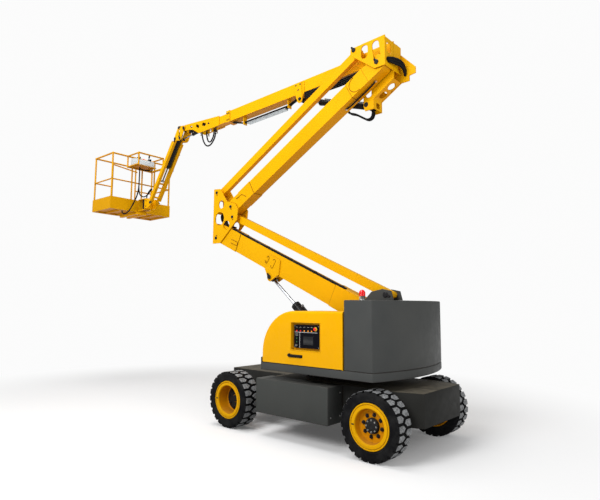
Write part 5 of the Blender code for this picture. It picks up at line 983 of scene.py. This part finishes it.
for name, base, eye, y, barrel, radius, eye_half, eye_radius in CYLINDERS:
    painted(cylinder_black, name + "_cylinder_barrel")
    painted(rod_chrome, name + "_cylinder_rod")
    at = member(*base, degrees(atan2(eye[1] - base[1], eye[0] - base[0])))
    neck = barrel - radius * 0.15
    gland = [rod(at(s0, 0, y), at(s1, 0, y), radius * share, 32) for s0, s1, share in
             ((barrel - radius * 1.1, neck, 1.19), (neck, barrel + 0.006, 0.85),
              (radius * 2.6, barrel - radius * 1.2, 1.12))]
    if eye_radius:
        ends = [(eye[0], y + out * eye_half, eye[1]) for out in (-1, 1)]
        piece(name + "_cylinder_eye", name + "_cylinder_rod", [rod(*ends, eye_radius, 28)], cylinder_black)
    ports = [rod(at(s, radius * h0, y), at(s, radius * h1, y), radius * share, steps)
             for s in (radius * 2.2, barrel - radius * 2.0)
             for h0, h1, share, steps in ((0.8, 1.45, 0.26, 12), (1.4, 1.65, 0.32, 6))]
    pipe = tube([at(s, radius * h, y) for s, h in
                 ((radius * 2.2, 1.5), (radius * 2.9, 1.42), (barrel * 0.5, 1.32),
                  (barrel - radius * 2.7, 1.42), (barrel - radius * 2.0, 1.5))], radius * 0.17, 8)
    piece(name + "_cylinder_gland", name + "_cylinder_barrel", gland + [pipe], cylinder_black)
    piece(name + "_cylinder_ports", name + "_cylinder_barrel", ports, bolt_zinc)
LOOP = ((1.0, 4.29), (0.965, 4.225), (0.9, 4.165), (0.807, 4.125), (0.712, 4.062), (0.625, 4.012),
        (0.562, 4.03), (0.545, 4.1), (0.566, 4.165))
loops = [tube([(x, y, z) for x, z in LOOP], 0.0135, 12) for y in (-0.222, -0.18)]
piece("boom_cylinder_hoses", "boom_cylinder_barrel", loops, hose_rubber)
fittings = [rod((0.985, y, 4.262), (0.95, y, 4.205), 0.0165, 6) for y in (-0.222, -0.18)]
piece("boom_cylinder_fittings", "boom_cylinder_barrel", fittings, bolt_zinc)


# ---- Main boom
# The outer boom tube with bolts and a weld round its mouth, yellow cheeks on the bracket of its
# cylinder, and under it a plated channel and black hoses; the three on the channel are hoses and also
# a painted shadow line between the channel and the boom.
BOOM = member(0.2804, 4.7987, -1.5)
BOOM_Y, BOOM_HALF, BOOM_WIDE, MOUTH = -0.204, 0.0905, 0.0785, (3.055, 3.095)
painted(boom_yellow, "main_boom")
painted(hose_rubber, "hose_carrier")
carrier_steel = plated("carrier_steel", (0.62, 0.66, 0.68), 0.45)
boom_bolts, cheeks = [], []
for side in (-1, 1):
    face = BOOM_Y + side * (BOOM_WIDE + COLLAR)
    boom_bolts += bolt_row([BOOM(s, h, face) for s in MOUTH for h in (-0.055, 0.055)], (0, side, 0))
    ear = BOOM_Y + side * (BOOM_WIDE + 0.008)
    boom_bolts += bolt_row([BOOM(s, h, ear) for s, h in ((1.462, 0.046), (1.546, 0.046), (1.504, -0.032))],
                           (0, side, 0), 0.03)
    boom_bolts += bolt_row([BOOM(s, BOOM_HALF + 2 * COLLAR, BOOM_Y + side * 0.045) for s in MOUTH],
                           Vector(BOOM(0, 1)) - Vector(BOOM(0, 0)))
    lug = [(1.435, 0.075), (1.575, 0.075), (1.575, -0.06), (1.525, -0.19)]
    lug += [(1.476 + 0.05 * sin(radians(t)), -0.19 - 0.05 * cos(radians(t))) for t in range(75, -76, -15)]
    lug = [BOOM(s, h) for s, h in lug + [(1.426, -0.19), (1.435, -0.06)]]
    cheeks.append(slab([(x, z) for x, _, z in lug], BOOM_Y + side * 0.0865, BOOM_Y + side * 0.0945))
piece("main_boom_bolts", "main_boom", boom_bolts, nut_black)
piece("boom_bracket_cheeks", "main_boom", cheeks, boom_yellow)
welds = weld_loop(BOOM, 3.03, -0.0915, 0.0915, BOOM_WIDE + BEAD_RISE, 0.004, BOOM_Y)
piece("main_boom_welds", "main_boom", welds, weld_shade_brown)
x, _, z = BOOM(1.474, -0.18)
first, first_dimple, _, _, second, second_dimple, _, _ = pin_heads([(x, z, 80)], BOOM_WIDE + 0.016, 0.027,
                                                                   BOOM_Y)
piece("boom_bracket_pin_heads", "main_boom", [first, first_dimple, second, second_dimple], nut_black)
channel = strip(BOOM, 1.82, 2.66, -0.2215, -0.199, BOOM_Y - 0.034, BOOM_Y + 0.034)
piece("hose_channel", "main_boom", [channel], carrier_steel)
# The three hoses on the channel are hoses and also a painted shadow line under the boom.
hoses = [tube([BOOM(s, -0.1895, y) for s in (1.8, 2.2, 2.68)], 0.0095, 8)
         for y in (BOOM_Y - 0.024, BOOM_Y, BOOM_Y + 0.024)]
for h in (-0.11, -0.136, -0.162, -0.188):
    hoses.append(tube([BOOM(s, h + rise, BOOM_Y + 0.064) for s, rise in
                       ((0.46, 0), (0.75, -0.006), (1.05, 0), (1.4, 0.004))], 0.0138, 8))
for y in (BOOM_Y - 0.02, BOOM_Y, BOOM_Y + 0.02):
    for places in (((1.6, -0.12), (1.7, -0.15), (1.745, -0.17)),
                   ((2.747, -0.18), (2.83, -0.155), (2.95, -0.118), (3.02, -0.104))):
        hoses.append(tube([BOOM(s, h, y) for s, h in places], 0.009, 8))
piece("main_boom_hoses", "main_boom", hoses, hose_rubber)


# ---- Inner boom and head
# The sliding tube, painted like the rest, with a row of holes through its head's sides. Two hoses
# hang in loops from plated fittings under it, and three more black hoses fill the head behind the holes
# as painted shade, so the holes look dark.
cutters = []
for x, z, radius in ((4.361, 4.779, 0.022), (4.174, 4.74, 0.03), (3.99, 4.736, 0.032)):
    for side in (-1, 1):
        cutters.append(rod((x, BOOM_Y + side * 0.042, z), (x, BOOM_Y + side * 0.092, z), radius, 32))
pierced("inner_boom_body", "inner_boom", *cutters)
HEAD_LOOPS = (
    # name, y, x and z of each point
    ("left", -0.152, ((4.078, 4.655), (4.076, 4.568), (4.03, 4.44), (3.945, 4.345), (3.835, 4.34),
                      (3.735, 4.43), (3.705, 4.54), (3.703, 4.65))),
    ("right", -0.224, ((4.04, 4.655), (4.035, 4.56), (3.99, 4.455), (3.92, 4.435), (3.858, 4.505),
                       (3.835, 4.59), (3.833, 4.655))),
)
for name, y, loop in HEAD_LOOPS:
    piece("head_hose_" + name, "inner_boom", [tube([(x, y, z) for x, z in loop], 0.0125, 12)], hose_rubber,
          ["hose_head_" + name])
fittings = []
for s, y in ((3.82, -0.142), (3.55, -0.142), (3.76, -0.266), (3.53, -0.266)):
    fittings += [rod(BOOM(s, -0.088, y), BOOM(s, -0.118, y), 0.0125, 6),
                 rod(BOOM(s, -0.118, y), BOOM(s, -0.142, y), 0.014, 12)]
piece("boom_hose_fittings", "inner_boom", fittings, bolt_zinc)
# Black hoses that fill the head behind its holes, so the holes look dark: painted shade.
inside = [tube([BOOM(3.58, h, -0.164), BOOM(3.9, h, -0.164), BOOM(4.18, h - 0.004, -0.166)], 0.018)
          for h in (0.088, 0.054, 0.02)]
piece("head_inner_hoses", "inner_boom", inside, hose_rubber)
head_bolts = [lathe([(0, -0.002), (0.016, -0.002), (0.016, 0.004), (0.012, 0.006), (0, 0.006)],
                    (3.875, BOOM_Y + side * 0.072, 4.728), (0, side, 0), 20) for side in (-1, 1)]
piece("inner_boom_bolts", "inner_boom", head_bolts, nut_black)


# ---- Jib link and jib
# Link plates on the boom's tip carry the twin-tube jib and the tops of its cylinders. Pins have
# round black heads, and a bundle of three hoses is clamped along the jib's far side.
JIB = member(4.8412, 4.656, -55.6)
PIN_HALF = 0.0885
painted(boom_yellow, "jib_arm")
pierced("jib_link_plates", "jib_link", slot_cutter((4.711, 4.69), (4.717, 4.79), 0.017, -0.15, -0.095))
heads = pin_heads(((4.5862, 4.808, 250), (4.7312, 4.841, 160), (4.6972, 4.638, 60), (4.8412, 4.656, 300)),
                  PIN_HALF, 0.027, BOOM_Y)
piece("jib_link_pin_heads", "jib_link", heads, nut_black)
jib_hoses = []
for y in (-0.329, -0.345, -0.361):
    jib_hoses.append(tube([JIB(0.1, 0.045, y + 0.02), JIB(0.25, 0.05, y), JIB(0.6, 0.048, y),
                           JIB(1.0, 0.05, y), JIB(1.22, 0.046, y + 0.02)], 0.0075, 8))
clamps = [strip(JIB, s, s + 0.022, 0.036, 0.062, -0.374, -0.304) for s in (0.28, 0.62, 0.98)]
piece("jib_hoses", "jib_arm", jib_hoses + clamps, hose_rubber)


# ---- Platform mount and rotator
# The levelled mount at the jib's foot with its bolted cheeks, and the black rotator that turns the
# platform, with a ring of bolts above and below.
painted(boom_yellow, "basket_mount", "basket_bracket")
painted(cylinder_black, "rotator")
heads = pin_heads([(5.6005, 3.547, 180)], PIN_HALF, 0.027, BOOM_Y)
for out in (-1, 1):
    heads += bolt_row([(5.745, BOOM_Y + out * PIN_HALF, z) for z in (3.49, 3.6)], (0, out, 0), 0.016, 0.008)
piece("mount_pin_heads", "basket_mount", heads, nut_black)
fork_bolts = [repeated(moved(hex_bolt(0.014, 0.009, (0, 0, out)), 0.045, 0, 0), nut_black, 8,
                       (5.8705, BOOM_Y, 3.543 + out * 0.1153), (0, 0, 1)) for out in (-1, 1)]
piece("rotator_bolts", "basket", fork_bolts, nut_black)


# ---- Platform
# A sheet floor on bars with toe boards, round-tube rails with welded joints and a lifting entrance
# bar. The control box's cable hangs in loops outside the rails.
RAIL_X, RAIL_Y, TOP_RAIL, MIDDLE_RAIL = (6.0688, 6.7322), (-0.8507, 0.4427), 4.503, 3.993
platform_yellow = sprayed_paint("platform_yellow", "yellow_paint", (0.68, 0.325, 0.001),
                                (0.72, 0.345, 0.0012), (0.5, 0.34, 0.1), 0.4, 0.0, 0.2,
                                (0.4, 0.19, 0.01), 0.4)
painted(platform_yellow, "basket_floor", "basket_rails", "gate_bar")
ball = [(0.021 * cos(radians(t)), 0.021 * sin(radians(t))) for t in range(-75, 76, 15)]
ball = [(0, -0.021)] + ball + [(0, 0.021)]
seam = [(0.0165, -0.003), (0.0195, -0.0015), (0.0195, 0.0015), (0.0165, 0.003)]
joints = [lathe(profile, (x, y, z), (0, 0, 1), 20) for x in RAIL_X for y in RAIL_Y for profile, z in
          ((ball, TOP_RAIL), (seam, MIDDLE_RAIL - 0.017), (seam, MIDDLE_RAIL + 0.017))]
piece("rail_corners", "basket", joints, platform_yellow)
cable = [(5.9105, -0.049, 4.29), (5.9105, -0.049, 4.243), (5.9105, -0.048, 4.023), (5.9155, -0.044, 3.853),
         (5.9405, -0.019, 3.683), (5.9955, 0.056, 3.463), (6.0235, 0.116, 3.363), (6.0475, 0.176, 3.33),
         (6.0605, 0.206, 3.36), (6.0605, 0.206, 3.392)]
branch = [(5.913, -0.046, 3.96), (5.908, -0.05, 3.83), (5.885, -0.062, 3.73), (5.85, -0.125, 3.69),
          (5.832, -0.2, 3.745), (5.826, -0.27, 3.845), (5.838, -0.292, 3.88), (5.86, -0.262, 3.845),
          (5.8705, -0.215, 3.745), (5.8705, -0.206, 3.65)]
run = [(5.9105, -0.049, 4.262), (5.9, -0.12, 4.246), (5.88, -0.24, 4.248), (5.872, -0.3, 4.258),
       (5.872, -0.31, 4.3)]
piece("platform_cable", "basket", [tube(cable, 0.0125, 12), tube(branch, 0.0115, 12), tube(run, 0.0125, 12)],
      hose_rubber, ["cable_console"])


# ---- Platform controls
# A light grey control box with a sloping face: two black joysticks, two knobs at its rear edge, a row
# of switches and a red stop button on a yellow ring, with a rubber gland for its cable.
CONSOLE_X0, CONSOLE_X1, CONSOLE_Y0, CONSOLE_Y1 = 5.781, 6.0348, -0.3075, 0.0806
CONSOLE_REAR, CONSOLE_FRONT = 4.424, 4.468
console_grey = sprayed_paint("console_grey", "console", (0.6, 0.66, 0.7), (0.66, 0.72, 0.76),
                             (0.55, 0.52, 0.46), 0.42, 0.1, 0.15, (0.75, 0.75, 0.74), 0.3)
piece("console_box", "basket", [eased(frame_copy("console"), 0.01, 3)], console_grey, ["console"], 30)


def on_face(share, y, lift=0.0):
    """A place on the sloping face, from its rear edge to its front edge, lifted square to it."""
    length, rise = CONSOLE_X1 - CONSOLE_X0 - 0.02, CONSOLE_FRONT - CONSOLE_REAR
    slope = atan2(rise, length)
    return (CONSOLE_X0 + 0.02 + share * length - lift * sin(slope), y,
            CONSOLE_REAR + share * rise + lift * cos(slope))


def upright(share, y, low, high, radius, steps):
    """A round bar that stands square on the sloping face."""
    return rod(on_face(share, y, low), on_face(share, y, high), radius, steps)


sticks, switches = [], []
for y in (CONSOLE_Y0 + 0.075, CONSOLE_Y1 - 0.075):
    for k, radius in enumerate((0.03, 0.026, 0.021, 0.016)):
        sticks.append(upright(0.42, y, 0.009 * k - 0.001, 0.009 * k + 0.007, radius, 24))
    sticks.append(rod(on_face(0.42, y, 0.033), on_face(0.4, y, 0.085), 0.008, 14))
    sticks.append(tube([on_face(0.4, y, 0.07), on_face(0.4, y, 0.09), on_face(0.39, y, 0.118)], 0.015, 14))
for y in (0.025, -0.214):
    sticks.append(lathe([(0, -0.004), (0.012, -0.004), (0.012, 0.006), (0.021, 0.01), (0.021, 0.03),
                         (0.015, 0.036), (0, 0.036)], (CONSOLE_X0 + 0.022, y, CONSOLE_REAR + 0.003),
                        (0, 0, 1), 24))
for y in (CONSOLE_Y0 + 0.055 + 0.07 * k for k in range(5)):
    switches += [upright(0.82, y, -0.001, 0.006, 0.009, 6),
                 rod(on_face(0.82, y, 0.005), on_face(0.86, y, 0.022), 0.0035, 10)]
piece("console_joysticks", "basket", sticks, rubber_seal, slot="console")
piece("console_switches", "basket", switches, bolt_zinc)
middle = (CONSOLE_Y0 + CONSOLE_Y1) / 2
piece("console_stop_ring", "basket", [upright(0.35, middle, -0.001, 0.004, 0.026, 28)], stop_yellow)
# The stop button takes the glowing red of the lamps, so it glows though it is no lamp: painted light.
piece("console_stop_button", "basket", [upright(0.35, middle, 0.003, 0.014, 0.01, 20),
                                        upright(0.35, middle, 0.013, 0.024, 0.018, 28)], glowing_red)
gland = rod((5.905, -0.049, 4.296), (5.905, -0.049, 4.305), 0.014, 16)
piece("console_gland", "basket", [gland], rubber_seal, slot="hose")
